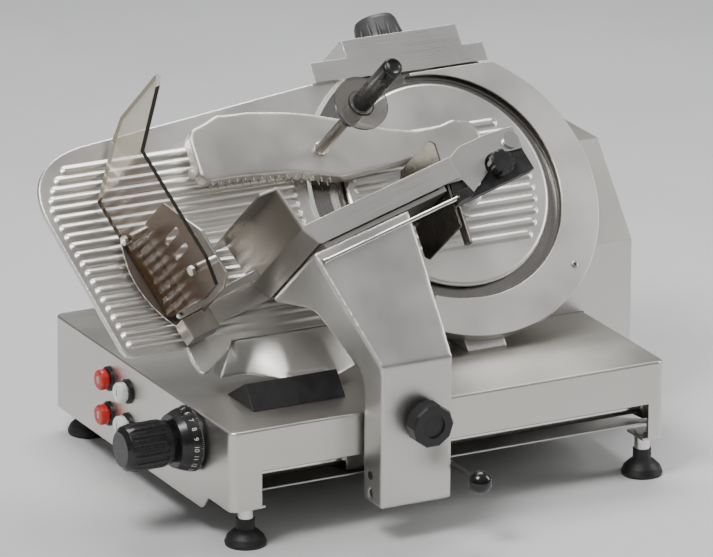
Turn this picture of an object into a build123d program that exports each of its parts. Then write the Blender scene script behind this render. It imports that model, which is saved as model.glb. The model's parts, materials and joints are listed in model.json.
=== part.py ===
"""Gravity feed food slicer with a powered carriage, as separate pieces in millimetres.

World frame: +X along the carriage travel, +Y to the back, +Z up, table at z = 0.
Places are given from the base's left front top corner, as (x, y, z) in at(), or in
the leaning knife frame, as (x, v, n): v runs up the knife plane, n out of it
towards the food. Tray places (a, b, n) are turned about n by the tray's tilt.
"""

import os
from math import cos, degrees, pi, radians, sin, sqrt, tan

from build123d import *

os.makedirs("parts", exist_ok=True)

# ---------------------------------------------------------------- driving sizes
base_length = 600
base_depth = 495
base_height = 155
sheet = 2
corner_radius = 10
band_height = 54
leg_height = 102
panel_drop = 121
left_leg = 42
right_leg = 22
side_leg = 40
panel_start = 84
step_slope = 8

overhang_left = 108
overhang_front = 128
housing_x1 = 668
left = -(housing_x1 - overhang_left) / 2
front = -(base_depth - overhang_front) / 2

foot_inset_left = 33
foot_inset_right = 15
foot_inset_side = 27
foot_radius = 26
foot_stud_radius = 10
foot_neck_radius = 11.5

blade_tilt = 40
blade_foot = 115
knife_x = 435
knife_v = 227.5
knife_radius = 185
knife_edge_n = -3
knife_gap = 3.5
cover_radius = 149.5
cover_shift = 9
cover_rib_pitch = 15.4
cover_rib_width = 7.6
cover_rib_height = 1.5
guard_x = 439
guard_v = 219
guard_radius = 195
guard_opening = 152
guard_top = 383
guard_front = 1.5
guard_back = -14
guard_lip = 3.5

shaft_radius = 15
shaft_bore = 7
tie_rod_radius = 6
bearing_outer = 27.5
bearing_width = 13
hub_radius = 38
flange_radius = 50
pulley_radius = 45
motor_pulley_radius = 30
belt_thickness = 4
belt_width = 14
motor_x = 560
motor_v = 185
motor_radius = 60
housing_x0 = 335
housing_y0 = 208
housing_y1 = 470
housing_top = 193
housing_drop = 100

gauge_thickness = 8
gauge_pitch = 12.4
gauge_rib_width = 9
gauge_rib_height = 2.4
gauge_top_rib = 326
gauge_bottom = 75
gauge_travel = 16

shaft_y = 104
shaft_z = -37.7
dial_radius = 41
grip_radius = 29.5
knob_reach = 98
cam_start = 12
cam_turn = 330
pin_radius = 4

carriage_travel = 280
rod_radius = 10
rod_y = 38
rod_z = -68
arm_left = 175
arm_right = 271
arm_front = -56
arm_back = -8
arm_bottom = -108
arm_wall = 8
arm_face_n = 180
pivot_y = -28
pivot_z = -95
pivot_radius = 5

tray_tilt = 15
tray_x = 130
tray_v = 141
tray_sheet = 2.5
tray_back = 6.8
apron_height = 29
tray_width = 212
tray_reach = 329
wall_height = 56

press_x = 439
press_v = 210
press_n = 10
press_thickness = 22
press_rod_radius = 8
sleeve_radius = 14
handle_x = 262
handle_v = 290

running = 0.06
seat = 0.3

# ------------------------------------------------------------------ the frames
sin_t = sin(radians(blade_tilt))
cos_t = cos(radians(blade_tilt))
knife_normal = Vector(0, -cos_t, sin_t)
up_slope = Vector(0, sin_t, cos_t)
across = Vector(1, 0, 0)
tray_across = across * cos(radians(tray_tilt)) + up_slope * sin(radians(tray_tilt))
tray_up = up_slope * cos(radians(tray_tilt)) - across * sin(radians(tray_tilt))


def at(x, y, z):
    """A point measured from the base's left front top corner."""
    return Vector(left + x, front + y, base_height + z)


def on_blade(x, v, n=0.0):
    """A point in the leaning knife frame."""
    return at(x, blade_foot, 0) + up_slope * v + knife_normal * n


def on_tray(a, b, n=0.0):
    """A point in the tilted tray frame."""
    return on_blade(tray_x, tray_v, n) + tray_across * a + tray_up * b


def blade_plane(n, x=0.0, v=0.0):
    """The plane at height n over the knife plane, local axes x and v."""
    return Plane(origin=on_blade(x, v, n), x_dir=across, z_dir=knife_normal)


def tray_plane(n, a=0.0, b=0.0):
    """The plane at height n over the knife plane, local axes a and b."""
    return Plane(origin=on_tray(a, b, n), x_dir=tray_across, z_dir=knife_normal)


def tray_side(a):
    """The plane across the tray at a, local axes n and b, extruding to lower a."""
    return Plane(origin=on_tray(a, 0), x_dir=knife_normal, z_dir=tray_across * -1)


def side_plane(x):
    """The upright plane at x, local axes y and z, extruding to higher x."""
    return Plane(origin=at(x, 0, 0), x_dir=(0, 1, 0), z_dir=(1, 0, 0))


def front_plane(y):
    """The upright plane at y, local axes x and z, extruding to the front."""
    return Plane(origin=at(0, y, 0), x_dir=(1, 0, 0), z_dir=(0, -1, 0))


def level_plane(z):
    """The level plane at z over the base's top, local axes x and y."""
    return Plane(origin=at(0, 0, z), x_dir=(1, 0, 0), z_dir=(0, 0, 1))


def turn_plane(centre, axis, radial):
    """A plane for revolved outlines: local x is the radius, local y the axis."""
    return Plane(origin=centre, x_dir=radial, z_dir=Vector(*radial).cross(Vector(*axis)))


knife_centre = on_blade(knife_x, knife_v)
knife_axis = Axis(knife_centre, knife_normal)
knife_turn = turn_plane(knife_centre, knife_normal, across)
motor_centre = on_blade(motor_x, motor_v)
motor_axis = Axis(motor_centre, knife_normal)
motor_turn = turn_plane(motor_centre, knife_normal, across)

foot_places = [
    (x, y)
    for x in (foot_inset_left, base_length - foot_inset_right)
    for y in (foot_inset_side, base_depth - foot_inset_side)
]

# ------------------------------------------------------------------------ base
button_places = {
    "stop_button_upper": (337, -36),
    "stop_button_lower": (337, -82),
    "start_button_upper": (284, -36),
    "start_button_lower": (284, -80),
}
button_radius = 12.5
bush_radius = 11.2
button_stem = 6
bezel_radius = 15.5
pad_reach = 14
pad_thickness = 3
foot_neck_top = 34
stud_tip = 5
pan_front = 8
pan_lip = -80
pan_fold = 130
pan_floor = -116
dial_shaft = 5
dial_bush = 9
skirt_base = 4.5
skirt_top = 30
knob_spigot = 14
flute_radius = 4
flute_depth = 1.8
flute_count = 18
cam_radius = 31
cam_width = 10
cam_face = 128
groove_depth = 5
pin_start = 26
pin_gap = 0.1
button_reach = 16
button_travel = 4
slot_x0, slot_x1, slot_y0, slot_y1 = 126, 194, 82, 128
rib_count = 20
rib_inset = 17
hull_foot = 12
neck_x0 = 134
neck_x1 = 186
neck_y0 = 92
neck_y1 = 113
gauge_axis_v = sin(radians(blade_tilt)) * (shaft_y - blade_foot) + cos(radians(blade_tilt)) * shaft_z
gauge_axis_n = sin(radians(blade_tilt)) * shaft_z - cos(radians(blade_tilt)) * (shaft_y - blade_foot)
guide_x = 160
guide_radius = 6
block_v = gauge_axis_v
block_n = gauge_axis_n + gauge_travel / 2
block_half_v = 10
block_half_n = 14
block_width = 28
tent_x0 = 60
tent_x1 = 185
tent_front = 58
tent_peak_y = 83
tent_peak_z = 28
tent_back = 130
hub_front = -25
hub_back = -98
bridge_thickness = 8
pulley_back = -117
motor_front = -34
post_x0 = 396
post_x1 = 450
post_front = 134
neck_front = -20
neck_back = -32
lift_x = 431
lift_n = -40
lift_radius = 7
cover_front = 0.5
cover_back = -5
cover_first_rib = 148
cover_rib_ends = [525, 536, 543, 547, 549, 550, 549, 547, 543, 536, 526]
fold_z = 86
slope_top = 299
sharp_front = 1
sharp_back = -62
sharp_x0 = 352
sharp_x1 = 514
sharp_v0 = 416
sharp_v1 = 440
sharp_knob_x = 421
sharp_knob_n = -30
sharp_outline = [
    (300, 390),
    (300, 416),
    (sharp_x0, 416),
    (sharp_x0, sharp_v1),
    (sharp_x1, sharp_v1),
    (sharp_x1, 411),
    (543, 411),
    (543, 386.5),
    (430, 386.5),
]
knob_stem = 5
stone_places = (395, 458)
stone_n = -24
stone_v = 423
stone_radius = 14
stone_width = 6
stone_pin = 3
rod_x0 = 4
steady_y = 62
steady_z = -78
steady_radius = 5
bracket_width = 14
hanger_x = 98
idler_x = 75
drive_inset = 75
drive_x = base_length - drive_inset
belt_z = -28
belt_pulley = 19.7
idler_pin = 4
motor_shaft = 4
gear_motor_radius = 21
block_x0 = 168
block_x1 = 278
clamp_x0 = 183
clamp_x1 = 216
lever_x = 280
lever_z = -70
lever_radius = 3.5
lever_ball_y = -113
lever_ball = 15
arm_knob_x = 231
arm_knob_z = 0
arm_stud = 6
apron_n = 180
end_plate_n = 176.5
block_back_n = 162
rail_n = 3
rail_left = -123
rail_foot_a = -84
rail_foot_b = -8
rail_tooth_start = -102
rail_tooth_end = 44
rail_teeth = 16
rail_pitch = (rail_tooth_end - rail_tooth_start) / rail_teeth
rod_front_n = 183.9
tray_rod_radius = 2.8
press_a = (press_x - tray_x) * cos(radians(tray_tilt)) + (press_v - tray_v) * sin(radians(tray_tilt))
press_b = (press_v - tray_v) * cos(radians(tray_tilt)) - (press_x - tray_x) * sin(radians(tray_tilt))
tray_knob_gap = 33.33
tray_knob_a = press_a - tray_knob_gap
tray_knob_b = -35.5
tray_stud = 4
fence_x = 338
handle_screw = 4
grip_start = 128
grip_end = 282
grip_r = 12.5
disc_n = 172
disc_radius = 35
spike_count = 15
spike_pitch = 11.2
press_outline = [
    (94, 330),
    (100, 341),
    (116, 346),
    (138, 355),
    (186, 353),
    (227, 347),
    (259, 340),
    (296, 328),
    (365, 303),
    (396, 296),
    (431, 298),
    (451, 303),
    (473, 298),
    (484, 283),
    (482, 262),
    (462, 212),
    (416, 210),
    (396, 254),
    (385, 262),
    (333, 255),
    (279, 250),
    (215, 266),
    (146, 271),
    (101, 271),
    (94, 279),
]
press_window = [
    (108, 284),
    (106, 328),
    (140, 342),
    (224, 335),
    (290, 316),
    (360, 291),
    (400, 284),
    (396, 274),
    (333, 267),
    (281, 262),
    (217, 278),
    (148, 283),
]
guard_a = -130
guard_sheet = 5
guard_bend_b = 171
guard_panel = 114
guard_n0 = 8
guard_n1 = 165
bracket_a = -96
bracket_sheet = 4
spacer_places = ((22, 112), (126, 21))
spacer_screw = 3
push_a = -112
push_n = 21
push_radius = 9.5
push_top = 112


def save(block, name):
    """Name a finished piece and write its file."""
    block.part.label = name
    export_step(block.part, "parts/" + name + ".step")


with BuildPart() as base_shell:
    with BuildSketch(level_plane(0)):
        with Locations((base_length / 2, base_depth / 2)):
            RectangleRounded(base_length, base_depth, corner_radius)
    extrude(amount=-panel_drop)
    fillet(base_shell.edges().group_by(Axis.Z)[-1], radius=3)
    offset(amount=-sheet, openings=base_shell.faces().sort_by(Axis.Z)[0])
    with BuildSketch(front_plane(2 * corner_radius)):
        with Locations(((left_leg + base_length - right_leg) / 2, -(band_height + panel_drop) / 2)):
            Rectangle(base_length - left_leg - right_leg, panel_drop - band_height)
    extrude(amount=3 * corner_radius, mode=Mode.SUBTRACT)
    with BuildSketch(side_plane(-1)):
        with BuildLine():
            Polyline(
                (-1, -panel_drop - 1),
                (-1, -leg_height),
                (panel_start - 22, -leg_height),
                (panel_start - step_slope, -panel_drop + 3),
                (panel_start, -panel_drop - 1),
                close=True,
            )
        make_face()
    extrude(amount=base_length + 2, mode=Mode.SUBTRACT)
    with BuildSketch(side_plane(base_length - 2 * sheet)):
        with BuildLine():
            Polyline(
                (side_leg, -panel_drop - 1),
                (side_leg, -band_height),
                (base_depth - side_leg, -band_height),
                (base_depth - side_leg, -panel_drop - 1),
                close=True,
            )
        make_face()
    extrude(amount=3 * sheet, mode=Mode.SUBTRACT)
    with BuildSketch(side_plane(-1)):
        for hole_y, hole_z in button_places.values():
            with Locations((hole_y, hole_z)):
                Circle(bush_radius + running)
        with Locations((shaft_y, shaft_z)):
            Circle(dial_bush + running)
    extrude(amount=2 * sheet, mode=Mode.SUBTRACT)
    with BuildSketch(level_plane(-2 * sheet)):
        with Locations(((slot_x0 + slot_x1) / 2, (slot_y0 + slot_y1) / 2)):
            Rectangle(slot_x1 - slot_x0, slot_y1 - slot_y0)
    extrude(amount=3 * sheet, mode=Mode.SUBTRACT)
    for pad_level, pad_y in ((-leg_height, 0), (-panel_drop, base_depth)):
        with BuildSketch(level_plane(pad_level)):
            with Locations((0, pad_y)):
                Rectangle(2 * (foot_inset_left + pad_reach), 2 * (foot_inset_side + pad_reach))
            with Locations((base_length, pad_y)):
                Rectangle(2 * (foot_inset_right + pad_reach), 2 * (foot_inset_side + pad_reach))
            with Locations((base_length / 2, base_depth / 2)):
                RectangleRounded(
                    base_length - sheet,
                    base_depth - sheet,
                    corner_radius - sheet / 2,
                    mode=Mode.INTERSECT,
                )
        extrude(amount=pad_thickness)
    with BuildSketch(level_plane(-panel_drop)):
        for foot_x, foot_y in foot_places:
            with Locations((foot_x, foot_y)):
                Circle(foot_stud_radius + running)
    extrude(amount=panel_drop - leg_height + pad_thickness, mode=Mode.SUBTRACT)
save(base_shell, "base_shell")

with BuildPart() as base_pan:
    with BuildSketch(side_plane(sheet + seat)):
        with BuildLine():
            Polyline(
                (pan_front, pan_lip),
                (pan_front, pan_lip - sheet),
                (pan_fold, pan_floor - sheet),
                (base_depth - 12, pan_floor - sheet),
                (base_depth - 12, pan_floor),
                (pan_fold, pan_floor),
                close=True,
            )
        make_face()
    extrude(amount=base_length - 2 * sheet - 2 * seat)
    with BuildSketch(level_plane(pan_floor - 3 * sheet)):
        with Locations((0, base_depth)):
            Rectangle(2 * (foot_inset_left + pad_reach + 2), 2 * (foot_inset_side + pad_reach + 2))
        with Locations((base_length, base_depth)):
            Rectangle(2 * (foot_inset_right + pad_reach + 2), 2 * (foot_inset_side + pad_reach + 2))
    extrude(amount=60, mode=Mode.SUBTRACT)
save(base_pan, "base_pan")

with BuildPart() as foot_studs:
    for foot_x, foot_y in foot_places:
        stud_top = base_height - (leg_height if foot_y < base_depth / 2 else panel_drop) + pad_thickness
        with BuildSketch(turn_plane(at(foot_x, foot_y, -base_height), (0, 0, 1), (1, 0, 0))):
            with BuildLine():
                Polyline(
                    (0, foot_neck_top - 8),
                    (stud_tip, foot_neck_top - 8),
                    (stud_tip, foot_neck_top + seat),
                    (foot_stud_radius, foot_neck_top + seat),
                    (foot_stud_radius, stud_top + 2),
                    (0, stud_top + 2),
                    close=True,
                )
            make_face()
        revolve(axis=Axis(at(foot_x, foot_y, 0), (0, 0, 1)))
save(foot_studs, "foot_studs")

with BuildPart() as rubber_feet:
    for foot_x, foot_y in foot_places:
        with BuildSketch(turn_plane(at(foot_x, foot_y, -base_height), (0, 0, 1), (1, 0, 0))):
            with BuildLine():
                Polyline(
                    (stud_tip + running, 8),
                    (foot_radius - 8, 0),
                    (foot_radius - 1, 0),
                    (foot_radius, 4),
                    (foot_radius - 3, 11),
                    (foot_radius - 9, 17),
                    (foot_neck_radius, 21),
                    (foot_neck_radius, foot_neck_top),
                    (stud_tip + running, foot_neck_top),
                    close=True,
                )
            make_face()
        revolve(axis=Axis(at(foot_x, foot_y, 0), (0, 0, 1)))
save(rubber_feet, "rubber_feet")

with BuildPart() as panel_bezels:
    for hole_y, hole_z in button_places.values():
        with BuildSketch(turn_plane(at(0, hole_y, hole_z), (-1, 0, 0), (0, 1, 0))):
            with BuildLine():
                Polyline(
                    (button_stem + running, -12),
                    (bush_radius, -12),
                    (bush_radius, 0),
                    (bezel_radius, 0),
                    (bezel_radius, 3),
                    (bezel_radius - 1, 4),
                    (button_radius + 0.5, 4),
                    (button_radius + 0.5, 1),
                    (button_stem + running, 1),
                    close=True,
                )
            make_face()
        revolve(axis=Axis(at(0, hole_y, hole_z), (1, 0, 0)))
    with BuildSketch(turn_plane(at(0, shaft_y, shaft_z), (-1, 0, 0), (0, 1, 0))):
        with BuildLine():
            Polyline(
                (dial_shaft + running, -14),
                (dial_bush, -14),
                (dial_bush, 0),
                (dial_radius - 6, 0),
                (dial_radius - 6, 2),
                (dial_radius - 8, 3.5),
                (dial_shaft + running, 3.5),
                close=True,
            )
        make_face()
    revolve(axis=Axis(at(0, shaft_y, shaft_z), (1, 0, 0)))
save(panel_bezels, "panel_bezels")

with BuildPart() as switch_blocks:
    for hole_y, hole_z in button_places.values():
        with BuildSketch(side_plane(sheet + seat)):
            with Locations((hole_y, hole_z)):
                Rectangle(30, 26)
                Circle(bush_radius + running, mode=Mode.SUBTRACT)
        extrude(amount=11)
        with BuildSketch(side_plane(sheet + seat + 11)):
            with Locations((hole_y, hole_z)):
                Rectangle(30, 26)
                Circle(button_stem + 1, mode=Mode.SUBTRACT)
        extrude(amount=14)
        with BuildSketch(side_plane(sheet + seat + 25)):
            with Locations((hole_y, hole_z)):
                Rectangle(30, 26)
        extrude(amount=12)
save(switch_blocks, "switch_blocks")

for button_name, (button_y, button_z) in button_places.items():
    with BuildPart() as button:
        with BuildSketch(turn_plane(at(0, button_y, button_z), (-1, 0, 0), (0, 1, 0))):
            with BuildLine():
                Polyline(
                    (0, -18),
                    (button_stem, -18),
                    (button_stem, button_travel + 1.6),
                    (button_radius, button_travel + 1.6),
                    (button_radius, button_reach - 1.5),
                    (button_radius - 1.5, button_reach),
                    (0, button_reach),
                    close=True,
                )
            make_face()
        revolve(axis=Axis(at(0, button_y, button_z), (1, 0, 0)))
    save(button, button_name)

# ------------------------------------------------------ slice thickness control
with BuildPart() as thickness_knob:
    with BuildSketch(turn_plane(at(0, shaft_y, shaft_z), (-1, 0, 0), (0, 1, 0))):
        with BuildLine():
            Polyline(
                (dial_shaft + running, skirt_base),
                (knob_spigot, skirt_base),
                (knob_spigot, skirt_top + seat),
                (grip_radius - 4, skirt_top + seat),
                (grip_radius - 2, skirt_top + 8),
                (grip_radius, skirt_top + 16),
                (grip_radius, knob_reach - 14),
                (grip_radius - 2, knob_reach - 5),
                (grip_radius - 8, knob_reach),
                (0, knob_reach),
                (0, knob_reach - 30),
                (dial_shaft + running, knob_reach - 30),
                close=True,
            )
        make_face()
    revolve(axis=Axis(at(0, shaft_y, shaft_z), (1, 0, 0)))
    with BuildSketch(side_plane(-knob_reach - 1)):
        with Locations((shaft_y, shaft_z)):
            with PolarLocations(grip_radius + flute_radius - flute_depth, flute_count):
                Circle(flute_radius)
    extrude(amount=knob_reach - skirt_top - 15, mode=Mode.SUBTRACT)
save(thickness_knob, "thickness_knob")

with BuildPart() as thickness_skirt:
    with BuildSketch(turn_plane(at(0, shaft_y, shaft_z), (-1, 0, 0), (0, 1, 0))):
        with BuildLine():
            Polyline(
                (knob_spigot + running, skirt_base),
                (dial_radius, skirt_base),
                (dial_radius, skirt_base + 3),
                (dial_radius - 4, skirt_top - 9),
                (dial_radius - 8, skirt_top),
                (knob_spigot + running, skirt_top),
                close=True,
            )
        make_face()
    revolve(axis=Axis(at(0, shaft_y, shaft_z), (1, 0, 0)))
save(thickness_skirt, "thickness_skirt")


def scroll_point(turned, side):
    """A point of the scroll groove: the pin's centre line, or one of its walls."""
    rate = gauge_travel / cam_turn
    reach = pin_start - rate * turned
    angle = radians(180 - blade_tilt - turned)
    slope = degrees(rate)
    length = sqrt(reach * reach + slope * slope)
    out_y = (reach * cos(angle) + slope * sin(angle)) / length
    out_z = (reach * sin(angle) - slope * cos(angle)) / length
    shift = side * (pin_radius + pin_gap)
    return (shaft_y + reach * cos(angle) + shift * out_y, shaft_z + reach * sin(angle) + shift * out_z)


scroll_turns = [cam_turn * step / 22 for step in range(23)]
scroll_end_outer = scroll_point(cam_turn, 1)
scroll_end_inner = scroll_point(cam_turn, -1)
with BuildPart() as thickness_shaft:
    with BuildSketch(side_plane(-knob_reach + 32)):
        with Locations((shaft_y, shaft_z)):
            Circle(dial_shaft)
    extrude(amount=knob_reach - 32 + cam_face)
    with BuildSketch(side_plane(cam_face - cam_width - 8)):
        with Locations((shaft_y, shaft_z)):
            Circle(dial_shaft + 7)
    extrude(amount=8)
    with BuildSketch(side_plane(cam_face - cam_width)):
        with Locations((shaft_y, shaft_z)):
            Circle(cam_radius)
    extrude(amount=cam_width)
    with BuildSketch(side_plane(cam_face - groove_depth)):
        with BuildLine():
            outer_wall = Spline(*[scroll_point(turned, 1) for turned in scroll_turns])
            inner_wall = Spline(*[scroll_point(turned, -1) for turned in scroll_turns])
            Line(outer_wall @ 0, inner_wall @ 0)
            Line(outer_wall @ 1, inner_wall @ 1)
        make_face()
        for turned in (0, cam_turn):
            with Locations(scroll_point(turned, 0)):
                Circle(pin_radius + pin_gap)
    extrude(amount=groove_depth + 1, mode=Mode.SUBTRACT)
save(thickness_shaft, "thickness_shaft")

# ------------------------------------------------------------- gauge and its guide
gauge_outline = [
    (-49, 353),
    (-81, 340),
    (-98, 321),
    (-107, 297),
    (-108, 273),
    (-78, 152),
    (-62, 86),
    (-52, gauge_bottom),
    (25, gauge_bottom),
    (26, 56),
    (31, 42),
    (38, 38),
    (78, 66),
    (84, gauge_bottom),
    (290, gauge_bottom),
    (345, 240),
    (345, 395),
    (285, 390),
]
gauge_front = knife_edge_n - gauge_rib_height
gauge_arc = knife_radius + knife_gap


def gauge_left_edge(v):
    """The x of the gauge plate's left edge at the height v."""
    if v > 273:
        return -108 + (v - 273) * (v - 273) / 95
    return -108 + (273 - v) * 0.248


with BuildPart() as gauge_plate:
    with BuildSketch(blade_plane(gauge_front - gauge_thickness)):
        with BuildLine():
            Polyline(*gauge_outline, close=True)
        make_face()
        with Locations((knife_x, knife_v)):
            Circle(gauge_arc, mode=Mode.SUBTRACT)
    extrude(amount=gauge_thickness)
    with BuildSketch(blade_plane(gauge_front - 0.2)):
        for rib in range(rib_count):
            rib_v = gauge_top_rib - rib * gauge_pitch
            reach = gauge_arc + rib_inset
            rib_right = knife_x - sqrt(reach * reach - (rib_v - knife_v) ** 2)
            rib_left = gauge_left_edge(rib_v) + 10
            with Locations(((rib_left + rib_right) / 2, rib_v)):
                SlotOverall(rib_right - rib_left, gauge_rib_width)
    extrude(amount=gauge_rib_height + 0.2)
save(gauge_plate, "gauge_plate")

hull_top = [(84, 166), (112, 165), (150, 164), (198, 164), (230, 166), (230, 181), (84, 182)]
hull_bottom = [(60, 152), (96, 151), (134, 104), (200, 100), (234, 122), (232, 180), (62, 180)]
with BuildPart() as gauge_support:
    with BuildSketch(level_plane(54)):
        with BuildLine():
            Polyline(*hull_top, close=True)
        make_face()
    with BuildSketch(level_plane(hull_foot)):
        with BuildLine():
            Polyline(*hull_bottom, close=True)
        make_face()
    loft(ruled=True)
    with BuildSketch(side_plane(neck_x0)):
        with BuildLine():
            Polyline(
                (neck_y0, hull_foot + 8),
                (neck_y1, hull_foot + 8),
                (neck_y1, -60),
                (neck_y0, -60),
                close=True,
            )
        make_face()
    extrude(amount=neck_x1 - neck_x0)
    with BuildSketch(blade_plane(gauge_front - gauge_thickness - seat - 10)):
        with Locations((145, 135)):
            Rectangle(170, 110)
    extrude(amount=10)
    with BuildSketch(blade_plane(gauge_front - gauge_thickness - seat)):
        with Locations((145, gauge_bottom + 60)):
            Rectangle(400, 120 + 2 * seat)
    extrude(amount=60, mode=Mode.SUBTRACT)
    with BuildSketch(blade_plane(gauge_front - gauge_thickness - seat)):
        with Locations((42, gauge_bottom)):
            Rectangle(90, 82)
    extrude(amount=60, mode=Mode.SUBTRACT)
    with BuildSketch(blade_plane(-100, 145, block_v + block_half_v + seat - 60)):
        Rectangle(200, 120)
    extrude(amount=200, mode=Mode.SUBTRACT)
save(gauge_support, "gauge_support")

with BuildPart() as gauge_slide_block:
    with BuildSketch(blade_plane(block_n - block_half_n, guide_x, block_v)):
        Rectangle(block_width, 2 * block_half_v)
    extrude(amount=2 * block_half_n)
    with BuildSketch(blade_plane(block_n - 4)):
        with Locations(((cam_face + 4 + guide_x - block_width / 2) / 2, block_v)):
            Rectangle(guide_x - block_width / 2 - cam_face - 2, 12)
    extrude(amount=pin_start + gauge_axis_n + 6 - block_n + 4)
    with BuildSketch(blade_plane(block_n - 60)):
        with Locations((guide_x, block_v)):
            Circle(guide_radius + running)
    extrude(amount=120, mode=Mode.SUBTRACT)
    with BuildSketch(Plane(origin=on_blade(cam_face - groove_depth + seat, block_v, gauge_axis_n + pin_start),
                           x_dir=up_slope, z_dir=across)):
        Circle(pin_radius)
    extrude(amount=groove_depth + 5)
save(gauge_slide_block, "gauge_slide_block")

with BuildPart() as slot_cover:
    with BuildSketch(side_plane(tent_x0)):
        with BuildLine():
            Polyline(
                (tent_front, seat),
                (tent_peak_y, tent_peak_z),
                (tent_back, seat),
                (tent_back - 4, seat),
                (tent_peak_y, tent_peak_z - 3),
                (tent_front + 4, seat),
                close=True,
            )
        make_face()
    extrude(amount=tent_x1 - tent_x0)
    with BuildSketch(side_plane(tent_x0)):
        with BuildLine():
            Polyline(
                (tent_front, seat),
                (tent_peak_y, tent_peak_z),
                (tent_back, seat),
                close=True,
            )
        make_face()
    extrude(amount=sheet)
    with BuildSketch(level_plane(-1)):
        with Locations(((neck_x0 - 14 + tent_x1 + 10) / 2, tent_back)):
            Rectangle(tent_x1 + 10 - neck_x0 + 14, 2 * (tent_back - neck_y0 + 4))
    extrude(amount=60, mode=Mode.SUBTRACT)
save(slot_cover, "slot_cover")

# ------------------------------------------------------------- knife and its drive
with BuildPart() as knife:
    with BuildSketch(knife_turn):
        with BuildLine():
            Polyline(
                (shaft_radius + running, -14),
                (shaft_radius + running, -9),
                (149, -9),
                (160, -7),
                (162, knife_edge_n - 1.2),
                (knife_radius, knife_edge_n),
                (knife_radius, knife_edge_n - 0.3),
                (172, -8),
                (152, -12),
                (60, -12),
                (50, -14),
                close=True,
            )
        make_face()
    revolve(axis=knife_axis)
save(knife, "knife")

with BuildPart() as knife_shaft:
    with BuildSketch(knife_turn):
        with BuildLine():
            Polyline(
                (shaft_bore, -9),
                (shaft_radius, -9),
                (shaft_radius, -14 - seat),
                (24, -14 - seat),
                (24, -22),
                (shaft_radius, -22),
                (shaft_radius, pulley_back - 2),
                (shaft_bore, pulley_back - 2),
                close=True,
            )
        make_face()
    revolve(axis=knife_axis)
save(knife_shaft, "knife_shaft")

with BuildPart() as shaft_bearings:
    for bearing_n in (hub_front - 2 - bearing_width, hub_back + 2):
        with BuildSketch(knife_turn):
            with Locations(((shaft_radius + running + bearing_outer) / 2, bearing_n + bearing_width / 2)):
                Rectangle(bearing_outer - shaft_radius - running, bearing_width)
        revolve(axis=knife_axis)
save(shaft_bearings, "shaft_bearings")

with BuildPart() as knife_pulley:
    with BuildSketch(knife_turn):
        with BuildLine():
            Polyline(
                (shaft_radius + running, pulley_back),
                (pulley_radius, pulley_back),
                (pulley_radius, pulley_back + belt_width + 2),
                (shaft_radius + 9, pulley_back + belt_width + 2),
                (shaft_radius + 9, pulley_back + belt_width + 3),
                (shaft_radius + running, pulley_back + belt_width + 3),
                close=True,
            )
        make_face()
    revolve(axis=knife_axis)
save(knife_pulley, "knife_pulley")

with BuildPart() as motor_pulley:
    with BuildSketch(motor_turn):
        with BuildLine():
            Polyline(
                (0, pulley_back - 1),
                (motor_pulley_radius, pulley_back - 1),
                (motor_pulley_radius, pulley_back + belt_width + 1),
                (8, pulley_back + belt_width + 1),
                (8, hub_back - 6),
                (0, hub_back - 6),
                close=True,
            )
        make_face()
    revolve(axis=motor_axis)
save(motor_pulley, "motor_pulley")

with BuildPart() as knife_motor:
    with BuildSketch(motor_turn):
        with BuildLine():
            Polyline(
                (0, hub_back + bridge_thickness + seat),
                (motor_radius - 6, hub_back + bridge_thickness + seat),
                (motor_radius - 6, -72),
                (motor_radius, -68),
                (motor_radius, motor_front + 8),
                (motor_radius - 8, motor_front),
                (0, motor_front),
                close=True,
            )
        make_face()
    revolve(axis=motor_axis)
    with BuildSketch(blade_plane(hub_back - 5.7, motor_x, motor_v)):
        Circle(7)
    extrude(amount=bridge_thickness + 8)
save(knife_motor, "knife_motor")

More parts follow.
